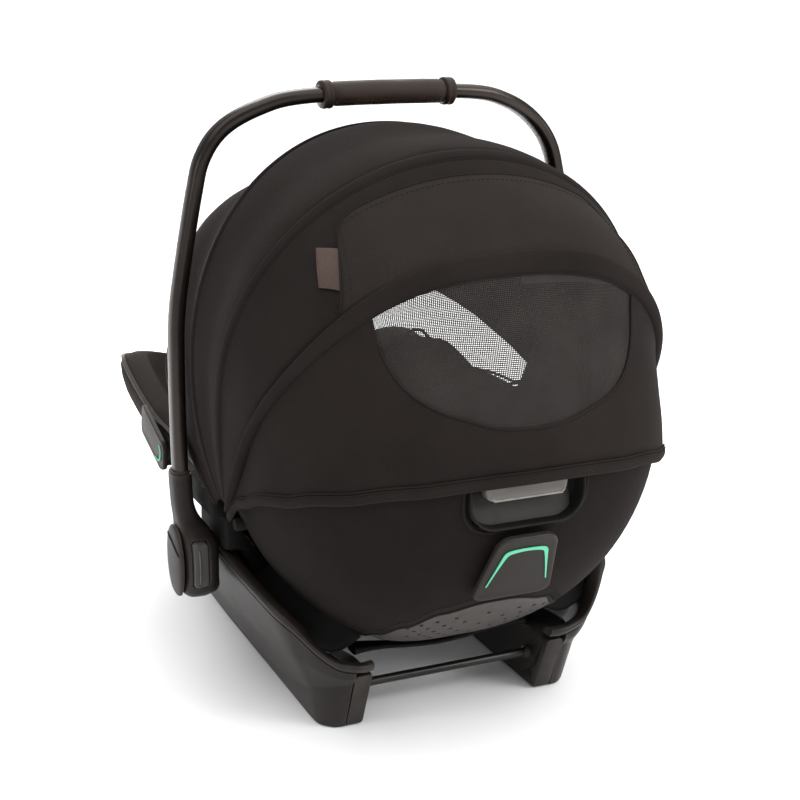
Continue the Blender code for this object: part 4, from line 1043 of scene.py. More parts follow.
def build_release():
    """Rear pocket with a double rim and fabric piping round it, and the pull-up handle in it."""
    rings = []
    for grow, out in POCKET_PROFILE:
        rings.append([Vector((x, POCKET_FACE + out, z)) for x, z in pocket_outline(grow)])
    pocket = dress(loft("pocket_cup", rings, DARK, sharp=60.0), "release_pocket")
    floor = rounded_outline(0.0455, TRAY_LOW, TRAY_HIGH, 0.013, 0.004, 6)
    tray = dress(plate("pocket_tray", floor, tray_point, -0.0050, 0.0, 0.0016, POCKET))
    made = [pocket, tray]
    for name, grow, out, radius in (("34", 0.0034, 0.0044, 0.0017), ("70", 0.0070, 0.0030, 0.0010)):
        path = [skin_at(x, z, out) for x, z in pocket_outline(grow, 10)]
        made.append(cord("pocket_piping_" + name, path, radius, PIPING, closed=True))
    outline = rounded_outline(LEVER_HALF, -0.0120, 0.0120, 0.0095, 0.005, 8)
    body = plate("release_grip", outline, lever_point, LEVER_BACK, LEVER_FACE, 0.0032, GREY, 6, 0.0009)
    path = [lever_point(0.96 * a, b + 0.0014, LEVER_FACE - 0.0005) for a, b in outline if b < -0.0086]
    lip = cord("release_grip_lip", smooth_path(sorted(path, key=lambda p: p.x), 2), 0.0011, GREY)
    dress(body, "release_handle", "release_lever")
    dress(lip, None, "release_lever")
    return made


def skin_at(x, z, out):
    """Point on the tub's rear face at a place seen from behind, moved outward."""
    low, high = 0.05, math.pi - 0.05
    drop = math.asin((TUB_Z - z) / TUB_DEPTH)
    for _ in range(40):
        middle = 0.5 * (low + high)
        if tub_point(middle, drop).x > x:
            low = middle
        else:
            high = middle
    angle = 0.5 * (low + high)
    return tub_point(angle, drop) + tub_out(angle, drop) * out


def mark_strip(name, points, lie, level):
    """A raised painted line through (a, b, half width) points."""
    curve = smooth_path(points, 8)
    high = level + 0.0007
    rings = []
    for i, point in enumerate(curve):
        ahead = curve[min(i + 1, len(curve) - 1)] - curve[max(i - 1, 0)]
        aside = Vector((-ahead.y, ahead.x, 0.0)).normalized() * point.z
        one, two = point - aside, point + aside
        rings.append([lie(p.x, p.y, h) for p, h in ((one, level), (two, level), (two, high), (one, high))])
    return loft(name, rings, GREEN, sharp=30.0)


# Half of the rear mark and the whole side mark, as a, b and half width
REAR_MARK = (
    (-0.0285, -0.0180, 0.0005), (-0.0240, 0.0000, 0.0009), (-0.0205, 0.0135, 0.0015),
    (-0.0180, 0.0202, 0.0021), (-0.0125, 0.0228, 0.0019),
)
SIDE_MARK = (
    (0.022, -0.0100, 0.0005), (0.032, -0.0092, 0.0008), (0.0365, -0.0040, 0.0010), (0.0365, 0.0040, 0.0010),
    (0.032, 0.0096, 0.0008),
)
SIDE_GUIDE = Vector((0.1920, -0.1454, 0.196))
SIDE_ALONG, SIDE_UP = Vector((0.0, 1.0, -0.30)).normalized(), Vector((0.0, 0.30, 1.0)).normalized()
REAR_GUIDE = Vector((0.0, 0.3266, 0.1890))
REAR_UP = Vector((0.0, 0.0305, 0.0600)).normalized()
REAR_FACING = Vector((0.0, REAR_UP.z, -REAR_UP.y))


def build_guide(names, lie, hook, root, depth, mark, level):
    """A hooked plate on its root, with a green mark on it."""
    name, place, mark_name = names
    outline, low, high, edge, dish = hook
    parts = [plate("hook", outline, lie, low, high, edge, FRAME, 5, dish),
             plate("root", rounded_outline(*root, 0.003, 0.003, 3), lie, depth, 0.0, 0.0005, FRAME, 2)]
    guide = dress(join(name, parts), "belt_guide_" + place)
    return [guide, dress(mark_strip(mark_name, mark, lie, level), "belt_mark_" + place)]


def build_guides():
    """Rear belt guide under the pocket and one guide on each side of the foot end."""
    def rear(a, b, level):
        return REAR_GUIDE + ACROSS * a + REAR_UP * b + REAR_FACING * (level - 1.2 * a * a)

    plain = rounded_outline(0.028, -0.0360, 0.0375, 0.008, 0.012, 8)
    outline = [(a * (1.0 + (0.5 - b / 0.062) * 0.32), b) for a, b in plain]
    mark = REAR_MARK + ((0.0, 0.0240, 0.0015),) + tuple((-a, b, w) for a, b, w in reversed(REAR_MARK))
    hook, root = (outline, -0.0030, 0.0027, 0.0015, 0.0005), (0.0285, -0.029, -0.019)
    made = build_guide(("rear_guide", "rear", "rear_guide_mark"), rear, hook, root, -0.020, mark, 0.0024)
    for side, sign in SIDES:
        def beside(a, b, level, sign=sign):
            middle = Vector((sign * SIDE_GUIDE.x, SIDE_GUIDE.y, SIDE_GUIDE.z))
            return middle + SIDE_ALONG * a + SIDE_UP * b + ACROSS * (sign * (level - 1.5 * a * a))

        plain = rounded_outline(0.0455, -0.017, 0.017, 0.010, 0.010, 6)
        outline = [(a * (1.0 - 0.06 * b / 0.034), b) for a, b in plain]
        hook, root = (outline, -0.0026, 0.0026, 0.0016, 0.0006), (0.038, -0.015, -0.008)
        names = ("side_guide_" + side, side, "side_guide_mark_" + side)
        made += build_guide(names, beside, hook, root, -0.022, SIDE_MARK, 0.0023)
    return made


# ---------------------------------------------------------------- runners
SEAM_GAP, KNEE_Z, CORNER_Y, WALL_STEPS = 0.0004, 0.040, 0.1606, 5

# Ground point, crease and top edge of the casing, as y and then (z, x) three times
WALL_STATIONS = (
    (-0.2474, 0.014, 0.1180, 0.024, 0.1220, 0.052, 0.1320),
    (-0.2204, 0.002, 0.1240, 0.016, 0.1280, 0.070, 0.1420),
    (-0.1754, 0.000, 0.1280, 0.012, 0.1320, 0.090, 0.1550),
    (-0.0954, 0.000, 0.1300, 0.010, 0.1340, 0.115, 0.1720),
    (-0.0154, 0.000, 0.1300, 0.010, 0.1340, 0.134, 0.1835),
    (0.0596, 0.000, 0.1300, 0.014, 0.1345, 0.139, 0.1850),
    (0.1246, 0.000, 0.1300, 0.026, 0.1370, 0.131, 0.1800),
)
# The same points round the rear corner, and the casing's turn there in degrees
CORNER_STATIONS = (
    ((0.1300, 0.1646, 0.0), (0.1365, 0.1726, 0.036), (0.1735, 0.1826, 0.1230), 12.0),
    ((0.1280, 0.1806, 0.0), (0.1335, 0.1906, 0.043), (0.1600, 0.2026, 0.1110), 35.0),
    ((0.1210, 0.1896, 0.0), (0.1260, 0.2046, 0.048), (0.1440, 0.2166, 0.0930), 60.0),
    ((0.1150, 0.1936, 0.0), (0.1160, 0.2136, 0.051), (0.1270, 0.2266, 0.0800), 80.0),
    ((0.1075, 0.1946, 0.0), (0.1075, 0.2156, 0.052), (0.1075, 0.2306, 0.0745), 90.0),
)
CAP_STATIONS = (((0.0985, 0.2311, 0.0738), 90.0), ((0.0905, 0.2276, 0.0730), 90.0))


def wall_stations():
    """Ground point, crease, top edge and turn along a runner's side wall, on smooth curves."""
    stations = [((x0, y, z0), (x1, y, z1), (x2, y, z2), 0.0) for y, z0, x0, z1, x1, z2, x2 in WALL_STATIONS]
    stations += list(CORNER_STATIONS)
    lines = [smooth_path([s[k] for s in stations], WALL_STEPS) for k in range(3)]
    turns = smooth_path([(s[3], 0.0, 0.0) for s in stations], WALL_STEPS)
    return [(a, b, c, min(max(t.x, 0.0), 90.0)) for a, b, c, t in zip(*lines, turns)]


def inward_of(turn):
    angle = math.radians(turn)
    return Vector((-math.cos(angle), -math.sin(angle), 0.0))


def mirrored(ring, sign):
    return [Vector((sign * p.x, p.y, p.z)) for p in ring]


def cover_space():
    """Space outside the tub's cover, used to trim pieces that meet it."""
    angles = even_angles(96)
    highs = [rim_drop(angle, -0.02) for angle in angles]
    rings = []
    for i in range(15):
        drops = [BOWL_KEEL + (high - BOWL_KEEL) * i / 14 for high in highs]
        rings.append([tub_point(angle, drop, -COVER_OUT - 0.0034) for angle, drop in zip(angles, drops)])
    return loft("cover_space", rings, DARK)


def outer_rings(sign):
    """Casing: down from the cap, out over the crease to the floor, and back under a shelf at the seam."""
    rings = []
    for ground, crease, top, turn in wall_stations():
        inward = inward_of(turn)
        under = top - (top - crease).normalized() * CAP_TALL
        share = (KNEE_Z - crease.z) / (top.z - crease.z)
        knee = crease + (top - crease) * max(0.25, share) + inward * CASING
        anchor = Vector((SEAM_X + SEAM_GAP, min(ground.y, CORNER_Y + 0.1 * (ground.y - CORNER_Y)), ground.z))
        belly = crease.lerp(under, 0.5) - inward * 0.0022
        if turn > 85.0:
            anchor.x = knee.x = belly.x = ground.x
        shelf = Vector((anchor.x, anchor.y, min(knee.z - 0.001, RUNNER_TOP - 0.006)))
        outline = (ground, crease, belly, under, under + inward * CASING, knee, shelf, anchor)
        rings.append(mirrored(rounded_ring(outline, 0.0022, 3), sign))
    return rings


def cap_rings(sign):
    """Rounded strip along the casing's top edge, carried on past the corner."""
    tops = [(top, (top - crease).normalized(), turn) for _, crease, top, turn in wall_stations()]
    tops += [(Vector(top), Vector((0.0, 0.55, 0.835)), turn) for top, turn in CAP_STATIONS]
    low = -CAP_TALL + 0.0009
    outline = ((0.0004, low), (0.0, -0.0030), (0.0028, 0.0006), (0.5 * CASING, 0.0016),
               (CASING - 0.0028, 0.0006), (CASING, -0.0030), (CASING, low))
    rings = []
    for top, rise, turn in tops:
        ring = [top + inward_of(turn) * a + rise * b for a, b in outline]
        rings.append(mirrored(rounded_ring(ring, 0.0016, 2), sign))
    return rings


FOOT_STATIONS = (       # place along the runner, low edge, high edge, slant, how much thinner it is
    (-0.2404, 0.014, 0.032, 0.0, 0.0), (-0.2174, 0.002, 0.042, 0.0, 0.0),
    (-0.1654, 0.0, RUNNER_TOP, 0.0, 0.0), (0.0146, 0.0, RUNNER_TOP, 0.0, 0.0),
    (0.1346, 0.0, RUNNER_TOP, 0.0, 0.0), (0.1646, 0.0, 0.0600, 0.2, 0.0),
    (0.1906, 0.0, 0.0610, 0.41, 0.0), (0.1940, 0.0010, 0.0606, 0.43, 0.0012),
    (0.1946, 0.0030, 0.0600, 0.43, 0.0030),
)


def inner_rings(sign):
    """Inner half of a runner, ending in the slanted foot."""
    rings = []
    for y, low, high, slant, draw in FOOT_STATIONS:
        near, far = SEAM_X - SEAM_GAP, FOOT_INNER_X + draw
        ring = [Vector((x, 0.0, z)) for x, z in ((near, low), (near, high), (far, high), (far, low))]
        rings.append([Vector((sign * p.x, y + slant * p.z, p.z)) for p in rounded_ring(ring, 0.0035, 4)])
    return rings


def tub_half(y, z):
    """Half width of the tub's outside at a place along it and a height."""
    ahead = y < TUB_Y
    level = math.sqrt(1.0 - ((TUB_Z - z) / TUB_DEPTH) ** 2)
    part = abs(y - TUB_Y) / ((TUB_FOOT if ahead else TUB_REAR) * level)
    squareness = FOOT_SQUARENESS if ahead else REAR_SQUARENESS
    return TUB_HALF_WIDTH * level * max(0.0, 1.0 - part ** squareness) ** (1.0 / squareness)


def build_shade_skirts():
    """Dark inner floor between each runner's casing and the tub: a sheet that closes the gap, its near-black
    colour painted shade for the deep shadow there.
    """
    made = []
    for side, sign in SIDES:
        rows = []
        for _, crease, top, turn in wall_stations():
            if top.y < -0.18 or turn > 55.0:
                continue
            edge = top + inward_of(turn) * (CASING - 0.0015) - (top - crease).normalized() * 0.0120
            tub_x = max(edge.x - 0.045, min(edge.x - 0.004, tub_half(edge.y, edge.z + 0.002) - 0.003))
            row = []
            for part in (k / 8 for k in range(9)):
                x = edge.x + (tub_x - edge.x) * part
                row.append(Vector((sign * x, edge.y, edge.z - 0.010 * math.sin(math.pi * part))))
            rows.append(row)
        # near-black DARK sheet: its colour is painted shade for the deep gap between casing and tub
        made.append(dress(sheet("shade_skirt_" + side, rows, DARK, 0.0020)))
    return made


def build_beam():
    """Thin beam between the runners under the tub."""
    shares = [k / 16 - 1.0 for k in range(33)]
    levels = [0.0590 + 0.004 * math.cos(math.pi * (share + 1.0)) for share in shares]
    path = [Vector((FOOT_INNER_X * share, 0.165, level)) for share, level in zip(shares, levels)]
    scales = [1.0 + 0.9 * abs(share) ** 4 for share in shares]
    beam = loft("chassis_beam", sweep(path, section(0.0022, 0.0060, 3.0, 28), scales=scales), DARK)
    return [dress(beam)]


BAR_Z, BAR_RADIUS, COLLAR_RADIUS = 0.0355, 0.0042, 0.0062
SLOT = (
    (0.0, 0.0035), (0.0024, 0.0018), (0.0024, -0.0018), (0.0, -0.0035), (-0.0010, -0.0016),
    (-0.0010, 0.0016),
)
STAY_LOW, STAY_HIGH = (0.1080, 0.0735), (0.1380, 0.0850)
STAY_FORE, STAY_REAR, STAY_BEND = 0.1396, 0.1626, 0.006


def build_runner(side, sign):
    """One runner: casing, cap strip, inner foot with its slot, and the seam under the cap."""
    wall = loft("runner_wall_" + side, outer_rings(sign), FRAME, sharp=32.0)
    cap = loft("runner_cap_" + side, cap_rings(sign), FRAME, sharp=50.0)
    for one in (wall, cap):
        cut(one, cover_space())
    at = Vector((sign * FOOT_INNER_X, 0.1905, 0.0235))
    slot = [[at + Vector((x, a, b)) for a, b in SLOT] for x in (-0.004, 0.004)]
    inner = loft("runner_foot_" + side, inner_rings(sign), FRAME, sharp=32.0)
    cut(inner, loft("slot_tool", slot, DARK))
    seam = []
    for _, crease, top, turn in wall_stations():
        point = top - (top - crease).normalized() * (CAP_TALL - 0.0002) + inward_of(turn) * 0.0010
        seam.append(Vector((sign * point.x, point.y, point.z)))
    line = cord("runner_seam_" + side, seam, 0.0009, DARK)
    for one, node in ((wall, "rail_outer_"), (cap, "rail_cap_"), (inner, "rail_inner_")):
        dress(one, node + side)
    return [wall, cap, inner, line]


def build_bar(name, y):
    """Round bar between the runners, with a collar at each end."""
    reach = FOOT_INNER_X - SEAM_GAP
    path = [Vector((-reach + 2.0 * reach * k / 24, y, BAR_Z)) for k in range(25)]
    bar = loft("cross_" + name, sweep(path, section(BAR_RADIUS, BAR_RADIUS, 2.0, 28)), BAR)
    collars = []
    for sign in (1.0, -1.0):
        ends = [Vector((sign * (reach - inset), y, BAR_Z)) for inset in (0.0, 0.0015, 0.0050, 0.0060)]
        rings = sweep(ends, section(COLLAR_RADIUS, COLLAR_RADIUS, 2.0, 24), scales=[1.0, 1.0, 0.92, 0.70])
        collars.append(loft("collar", rings, FRAME))
    return [dress(bar, name), dress(join(name + "_collars", collars))]


def build_stay(side, sign):
    """Small bent steel stay beside the tub."""
    corners = [Vector((sign * x, y, z)) for (x, z), y in
               ((STAY_LOW, STAY_FORE), (STAY_HIGH, STAY_FORE), (STAY_HIGH, STAY_REAR), (STAY_LOW, STAY_REAR))]
    bend = [corners[0]]
    for before, corner, after in zip(corners, corners[1:], corners[2:]):
        one = corner + (before - corner).normalized() * STAY_BEND
        two = corner + (after - corner).normalized() * STAY_BEND
        for t in (0.0, 0.2, 0.4, 0.6, 0.8, 1.0):
            bend.append(one * (1 - t) ** 2 + corner * 2 * t * (1 - t) + two * t * t)
    bend.append(corners[3])
    return dress(cord("bent_stay_" + side, bend, 0.0029, STEEL, 16), "cross_stay_" + side)


def build_runners():
    """Both runners, the bars between them and the steel stays."""
    made = build_bar("rear_bar", 0.1846) + build_bar("front_bar", -0.1754)
    for side, sign in SIDES:
        made += build_runner(side, sign) + [build_stay(side, sign)]
    return made


# ---------------------------------------------------------------- hubs and handle
HUB_X0, HUB_X1 = 0.1830, 0.2195
# Height, half depth, inner x and outer x of the hub
HUB_ROWS = (
    (0.0925, 0.0060, 0.1990, 0.2070), (0.0932, 0.0135, 0.1955, 0.2110), (0.0962, 0.0210, 0.1905, 0.2165),
    (0.1015, 0.0268, HUB_X0, HUB_X1), (0.1130, 0.0312, HUB_X0, HUB_X1), (0.1320, 0.0325, HUB_X0, HUB_X1),
    (0.1480, 0.0300, 0.1835, HUB_X1), (0.1600, 0.0225, 0.1890, HUB_X1), (0.1710, 0.0170, 0.1970, 0.2205),
    (0.1850, 0.0150, 0.2025, 0.2222), (0.2130, 0.0146, 0.2040, 0.2234), (0.2166, 0.0142, 0.2044, 0.2230),
)
# Height, inner x and outer x of the fixed boss
BOSS_ROWS = (
    (0.1020, 0.100, 0.1460), (0.1300, 0.120, 0.1610), (0.1430, 0.130, 0.1675),
    (0.1450, 0.130, HUB_X0 - 0.0010), (0.1740, 0.140, HUB_X0 - 0.0010), (0.1790, 0.140, 0.1940),
    (0.1900, 0.140, 0.1965), (0.2010, 0.140, 0.1940),
)
BUTTON_X, BUTTON_Z, BUTTON_FACE = 0.2050, 0.1310, 0.0346
LID_HALF_DEEP, LID_HALF_TALL, LID_Z = 0.0258, 0.0355, 0.1285
# Share of the lid's size, height
LID_RINGS = (
    (1.0, 0.0), (1.0, 0.0012), (0.985, 0.0022), (0.94, 0.0031), (0.82, 0.0039), (0.62, 0.0046),
    (0.38, 0.0050), (0.12, 0.0051),
)


def build_hub(side, sign):
    """Turning hub with a pocket for its button."""
    low, high = HUB_ROWS[0][0], HUB_ROWS[-1][0]
    rings = []
    for k in range(45):
        z = low + (high - low) * k / 44
        deep, x0, x1 = spline(HUB_ROWS, z)
        outline = section(0.5 * (x1 - x0), deep, 3.2, 48)
        rings.append([Vector((sign * (0.5 * (x0 + x1) + a), HUB_Y + b, z)) for a, b in outline])
    pocket = rounded_outline(0.0076, 0.1083, 0.1537, 0.003, 0.003, 4)
    tool = []
    for deep in (0.0195, 0.0400):
        tool.append([Vector((sign * (BUTTON_X + a), HUB_Y + deep, z)) for a, z in pocket])
    hub = cut(loft("hub_body_" + side, rings, FRAME, sharp=50.0), loft("button_tool", tool, DARK))
    dress(hub, "hub_housing_" + side, "handle")


def finer(outline, pitch):
    """Closed outline with its long sides divided."""
    made = []
    for (a0, b0), (a1, b1) in zip(outline, outline[1:] + outline[:1]):
        parts = max(1, int(math.hypot(a1 - a0, b1 - b0) / pitch))
        made += [(a0 + (a1 - a0) * k / parts, b0 + (b1 - b0) * k / parts) for k in range(parts)]
    return made


def build_hub_button(side, sign):
    """Bowed release button with a ridge down it."""
    def lie(a, b, level):
        ridge = 0.0012 * math.exp(-((a - 0.0022) / 0.0011) ** 2) if level > 0.0320 else 0.0
        return Vector((sign * (BUTTON_X + a), HUB_Y + level + ridge - 5.0 * b * b, BUTTON_Z + b))

    outline = finer(rounded_outline(0.0070, -0.0221, 0.0221, 0.0035, 0.0035, 5), 0.0016)
    button = plate("hub_press_" + side, outline, lie, 0.0255, BUTTON_FACE, 0.0018, BUTTON, 5)
    places = (-0.0165, -0.0160, -0.0080, 0.0, 0.0080, 0.0160, 0.0165)
    path = [lie(0.0018, b, BUTTON_FACE + 0.0001) for b in places]
    ridge = cord("hub_press_ridge_" + side, smooth_path(path, 3), 0.0011, BUTTON)
    dress(button, "hub_button_" + side, "hub_button_" + side[0])
    dress(ridge, None, "hub_button_" + side[0])


def build_lid(side, sign):
    """Lens-shaped cap on the hub with a curved slit."""
    cap = []
    for drawn, out in LID_RINGS:
        size = (LID_HALF_DEEP * drawn, LID_HALF_TALL * drawn)
        ring = [superellipse(2.0 * math.pi * k / 64, *size, 2.2) for k in range(64)]
        cap.append([Vector((sign * (HUB_X1 + 0.0003 + out), HUB_Y + a, LID_Z + b)) for a, b in ring])
    groove = []
    for k in range(25):
        a = -0.0215 + 0.043 * k / 24
        b = 0.0155 + 0.0050 * math.cos(a / 0.0215 * 1.3) - 0.30 * a
        groove.append(Vector((sign * (HUB_X1 + 0.0004 + lid_rise(a, b)), HUB_Y + a, LID_Z + b)))
    dress(loft("hub_lid_" + side, cap, FRAME, sharp=60.0), "hub_cap_" + side, "handle")
    dress(cord("hub_lid_slit_" + side, groove, 0.0010, DARK, 10), None, "handle")


def build_boss(side, sign):
    """Fixed boss between the tub and the hub, and the disc of the hood's pivot."""
    rings = []
    for z, x0, x1 in BOSS_ROWS:
        deep = 0.0370 - 0.10 * abs(z - 0.150)
        ahead = -deep - 0.012
        corners = [Vector((x, y, 0.0)) for x, y in ((x0, ahead), (x1, ahead), (x1, deep), (x0, deep))]
        rings.append([Vector((sign * p.x, HUB_Y + p.y, z)) for p in rounded_ring(corners, 0.006, 5)])
    boss = cut(loft("hub_boss_" + side, rings, DARK, sharp=35.0), cover_space())
    path = [Vector((sign * (HUB_X0 - 0.0015 - inset), HOOD_Y, HOOD_Z)) for inset in (0.0120, 0.0016, 0.0)]
    rings = sweep(path, section(0.0060, 0.0060, 2.0, 40), scales=[1.0, 1.0, 0.84])
    disc = dress(loft("hood_boss_" + side, rings, DARK), "hood_pivot_" + side)
    return [dress(boss, "hub_base_" + side), disc]


def build_hubs():
    """Turning hubs with their caps and buttons; returns the fixed bosses and the hood's pivots."""
    fixed = []
    for side, sign in SIDES:
        build_hub(side, sign)
        build_hub_button(side, sign)
        build_lid(side, sign)
        fixed += build_boss(side, sign)
    return fixed


LID_CURVE = ((0.0, 0.0051), (0.38, 0.0050), (0.62, 0.0046), (0.82, 0.0039), (0.94, 0.0031), (1.0, 0.0012))


def lid_rise(a, b):
    """Height of the hub's lens cap over its edge plane."""
    return eased(LID_CURVE, min(1.0, math.hypot(a / LID_HALF_DEEP, b / LID_HALF_TALL)))


def along_x(path, low, high):
    """The stretch of a path between two values of x, cut exactly at both."""
    found = []
    for one, two in zip(path, path[1:]):
        for limit in (high, low):
            if (one.x - limit) * (two.x - limit) < 0.0:
                found.append(one.lerp(two, (limit - one.x) / (two.x - one.x)))
        if low < two.x < high:
            found.append(two)
    return found


# Height, how far the tube leans toward the foot end
TUBE_LEAN = ((0.27, 0.0), (0.42, 0.008), (0.535, 0.009), (0.5615, 0.0))
RING_SIZES = (0.90, 0.975, 1.0, 1.0, 0.985, 0.965, 0.985, 1.0, 1.0, 0.975, 0.88)


def build_grip(path):
    """Leather sleeve on the handle, its sewn seam and two rows of stitches."""
    marks = length_along(path)
    scales = []
    for m in marks:
        end = min(m, marks[-1] - m)
        uneven = 0.006 * math.sin(m * 160.0) + 0.004 * math.sin(m * 410.0 + 1.0)
        scales.append(1.0 - 0.10 * math.exp(-end / 0.0016) + uneven)
    rings = sweep(path, section(0.0114, 0.0137, 2.25, 48), scales=scales)
    grip = loft("carry_grip", rings, LEATHER, sharp=60.0)
    out = Vector((0.0, 0.72, -0.69))
    seam = [point + Vector((0.0, 0.0098, -0.0078)) for point in path]
    ridge = cord("carry_grip_seam", seam, 0.0008, LEATHER)
    rows = []
    for shift in (0.0022, -0.0024):
        row = [p + Vector((0.0, shift * 0.75, shift * 0.75)) + out * 0.0004 for p in seam]
        rows.append(stitches("grip_row", row, [out] * len(row), THREAD, 0.0028, 0.0044, 0.0008))
    for one, node in ((grip, "handle_grip"), (ridge, None), (join("carry_grip_stitches", rows), None)):
        dress(one, node, "handle")


def build_handle():
    """Bent carry tube, its leather grip with a sewn seam, and the rings at the grip's ends."""
    half = [Vector((x, HUB_Y - eased(TUBE_LEAN, z), z)) for x, z in HANDLE_PATH]
    path = smooth_path(half + [Vector((-p.x, p.y, p.z)) for p in reversed(half[:-1])], 10)
    outline = section(0.5 * TUBE_THICK, 0.5 * TUBE_DEEP, 2.9, 40)
    dress(loft("carry_tube", sweep(path, outline), TUBE, sharp=60.0), "handle_tube", "handle")
    inner_end = GRIP_HALF - RING_LONG
    build_grip(smooth_path(along_x(path, -inner_end, inner_end)[::2], 2))
    for side, sign in SIDES:
        ends = along_x(path, *sorted((sign * (inner_end - 0.0002), sign * GRIP_HALF)))
        ring_path = [ends[0].lerp(ends[-1], k / 10) for k in range(11)]
        rings = sweep(ring_path, section(0.0131, 0.0146, 2.3, 48), scales=RING_SIZES)
        ring = loft("carry_ring_" + side, rings, LEATHER, sharp=60.0)
        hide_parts("grip_ring_" + side)
        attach(ring, "handle")
        collar_path = [Vector((sign * 0.21375, HUB_Y, z)) for z in (0.2150, 0.2168, 0.2186, 0.2196)]
        rings = sweep(collar_path, section(0.0084, 0.0124, 2.9, 40), scales=(1.0, 1.02, 1.0, 0.93))
        dress(loft("carry_collar_" + side, rings, FRAME), None, "handle")


# ---------------------------------------------------------------- hood
def hood_rim(tilt, share, lift=0.0):
    """Sideways and upward place on the arch at a tilt; share runs from 0 at the middle to 1 at the base."""
    half_width, height, widest, exponent = spline(HOOD_ARCHES, tilt)
    low_share = 0.5 * widest / height
    from_base = 1.0 - share
    if from_base < low_share:
        part = from_base / low_share
        up = HOOD_BASE_UP + (widest - HOOD_BASE_UP) * part
        sideways = HOOD_BASE_HALF + (half_width - HOOD_BASE_HALF) * (1.0 - (1.0 - part) ** 2) + lift
    else:
        angle = 0.5 * math.pi * (from_base - low_share) / (1.0 - low_share)
        sideways, rise = superellipse(angle, half_width + lift, height + lift - widest, exponent)
        up = widest + rise
    return sideways, up


def front_sweep(tilt, up):
    """Turn by which the front of the fabric is drawn back toward its foot, in degrees."""
    share = max(0.0, (MID_TILT - tilt) / (MID_TILT - FRONT_TILT))
    return share * eased(((0.11, 5.0), (0.24, 0.3), (0.30, 0.0)), up)


def hood_at(tilt, across, lift=0.0, shift=0.0):
    """Point on the hood at a tilt and a place across (-1 to 1), moved back along the fabric by shift."""
    sideways, up = hood_rim(tilt, abs(across), lift)
    if shift:
        tilt += math.degrees(shift / max(up, 0.06)) * min(1.0, up / 0.10)
        sideways, up = hood_rim(tilt, abs(across), lift)
    lean = math.radians(tilt + front_sweep(tilt, up))
    x = math.copysign(sideways, across)
    return Vector((x, HOOD_Y + up * math.sin(lean), HOOD_Z + up * math.cos(lean)))


def hood_out(tilt, across):
    """Outward direction of the hood's fabric."""
    step = 0.004
    side = hood_at(tilt, min(across + step, 1.0)) - hood_at(tilt, max(across - step, -1.0))
    out = hood_back(tilt, across).cross(side).normalized()
    point = hood_at(tilt, across)
    return out if out.dot(point - HOOD_PIVOT) > 0.0 else -out


def hood_panel(name, low, high, count, columns=96):
    """Smooth fabric panel between two tilts, over the whole arch."""
    rows = grid(count, columns, lambda down, over: hood_at(low + (high - low) * down, 2.0 * over - 1.0))
    return dress(sheet(name, rows, HOOD, FABRIC))


def hood_back(tilt, across):
    """Direction backward along the fabric."""
    return (hood_at(tilt + 0.5, across) - hood_at(tilt - 0.5, across)).normalized()


def channel(name, tilt, wide, tall, lift):
    """A padded fabric channel over a hoop, round in section, along the whole arch."""
    rings = []
    for j in range(97):
        across = -1.0 + 2.0 * j / 96
        size = 0.55 + 0.45 * math.sin(0.5 * math.pi * min(1.0, (1.0 - abs(across)) / 0.16))
        middle = hood_at(tilt, across, lift)
        out, back = hood_out(tilt, across), hood_back(tilt, across)
        ring = [superellipse(2.0 * math.pi * k / 20, 0.5 * wide * size, tall * size, 2.3) for k in range(20)]
        rings.append([middle + back * a + out * (b if b > 0.0 else 0.6 * b) for a, b in ring])
    return loft(name, rings, HOOD, sharp=70.0)


def bend_rear(made):
    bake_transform(made)


def window_edge(x):
    """Tilt of the window's lower edge at a distance from the middle."""
    return spline(WINDOW_EDGE, abs(x))[0]


def across_of(tilt, x):
    """Place across at which the arch has a given half width."""
    low, high = 0.0, 0.9
    for _ in range(30):
        middle = 0.5 * (low + high)
        if hood_rim(tilt, middle)[0] < x:
            low = middle
        else:
            high = middle
    return 0.5 * (low + high)


def back_point(tilt, column, lift=0.0):
    """Point on the hood's back: column from -1 to 1, even over the window and then down to the base."""
    part = abs(column)
    if part <= WINDOW_SHARE:
        share = across_of(tilt, WINDOW_HALF * part / WINDOW_SHARE)
    else:
        first = across_of(tilt, WINDOW_HALF)
        share = first + (1.0 - first) * (part - WINDOW_SHARE) / (1.0 - WINDOW_SHARE)
    return hood_at(tilt, math.copysign(share, column), lift)


def flap_half(part):
    """Half width of the flap from its top edge (0) to the roll (1)."""
    return 0.1245 + 0.0145 * min(max(part, 0.0), 1.0)


# Share of the way to the pivot, how far the hem lies below its plain tilt
HEM_RISE = ((0.0, -0.0075), (0.35, -0.0070), (0.55, -0.0035), (0.70, 0.0030), (0.85, 0.0110))


def hem_tilt(column):
    """Tilt of the hem: it drops steeply to the pivot and then runs level round the back."""
    point = back_point(HEM_TILT, column) - HOOD_PIVOT
    up = max(0.02, math.hypot(point.y, point.z))
    amount = eased(HEM_RISE, abs(column))
    return HEM_TILT - math.degrees(amount / max(up, 0.04)) * min(1.0, up / 0.045)


BACK_COLUMNS = 120
# Name, tilt, width, height and lift of each hoop's channel, and the sides of it that have a sewn edge
CHANNELS = (
    ("front", FRONT_TILT, 0.0090, 0.0044, 0.0006, (1.0,)), ("mid", MID_TILT, 0.0110, 0.0034, 0.0004, ()),
    ("rear", REAR_TILT, 0.0130, 0.0046, -0.0012, (1.0,)),
)
# Rise over the hem's edge, lift and radius of each of its seams
HEM_LINES = ((0.0084, 0.0026, 0.0008), (-0.0006, 0.0012, 0.0008), (0.0060, 0.0036, 0.0005))
FLAP_CENTRE = HOOD_PIVOT + Vector((0.0, 0.10, 0.10))


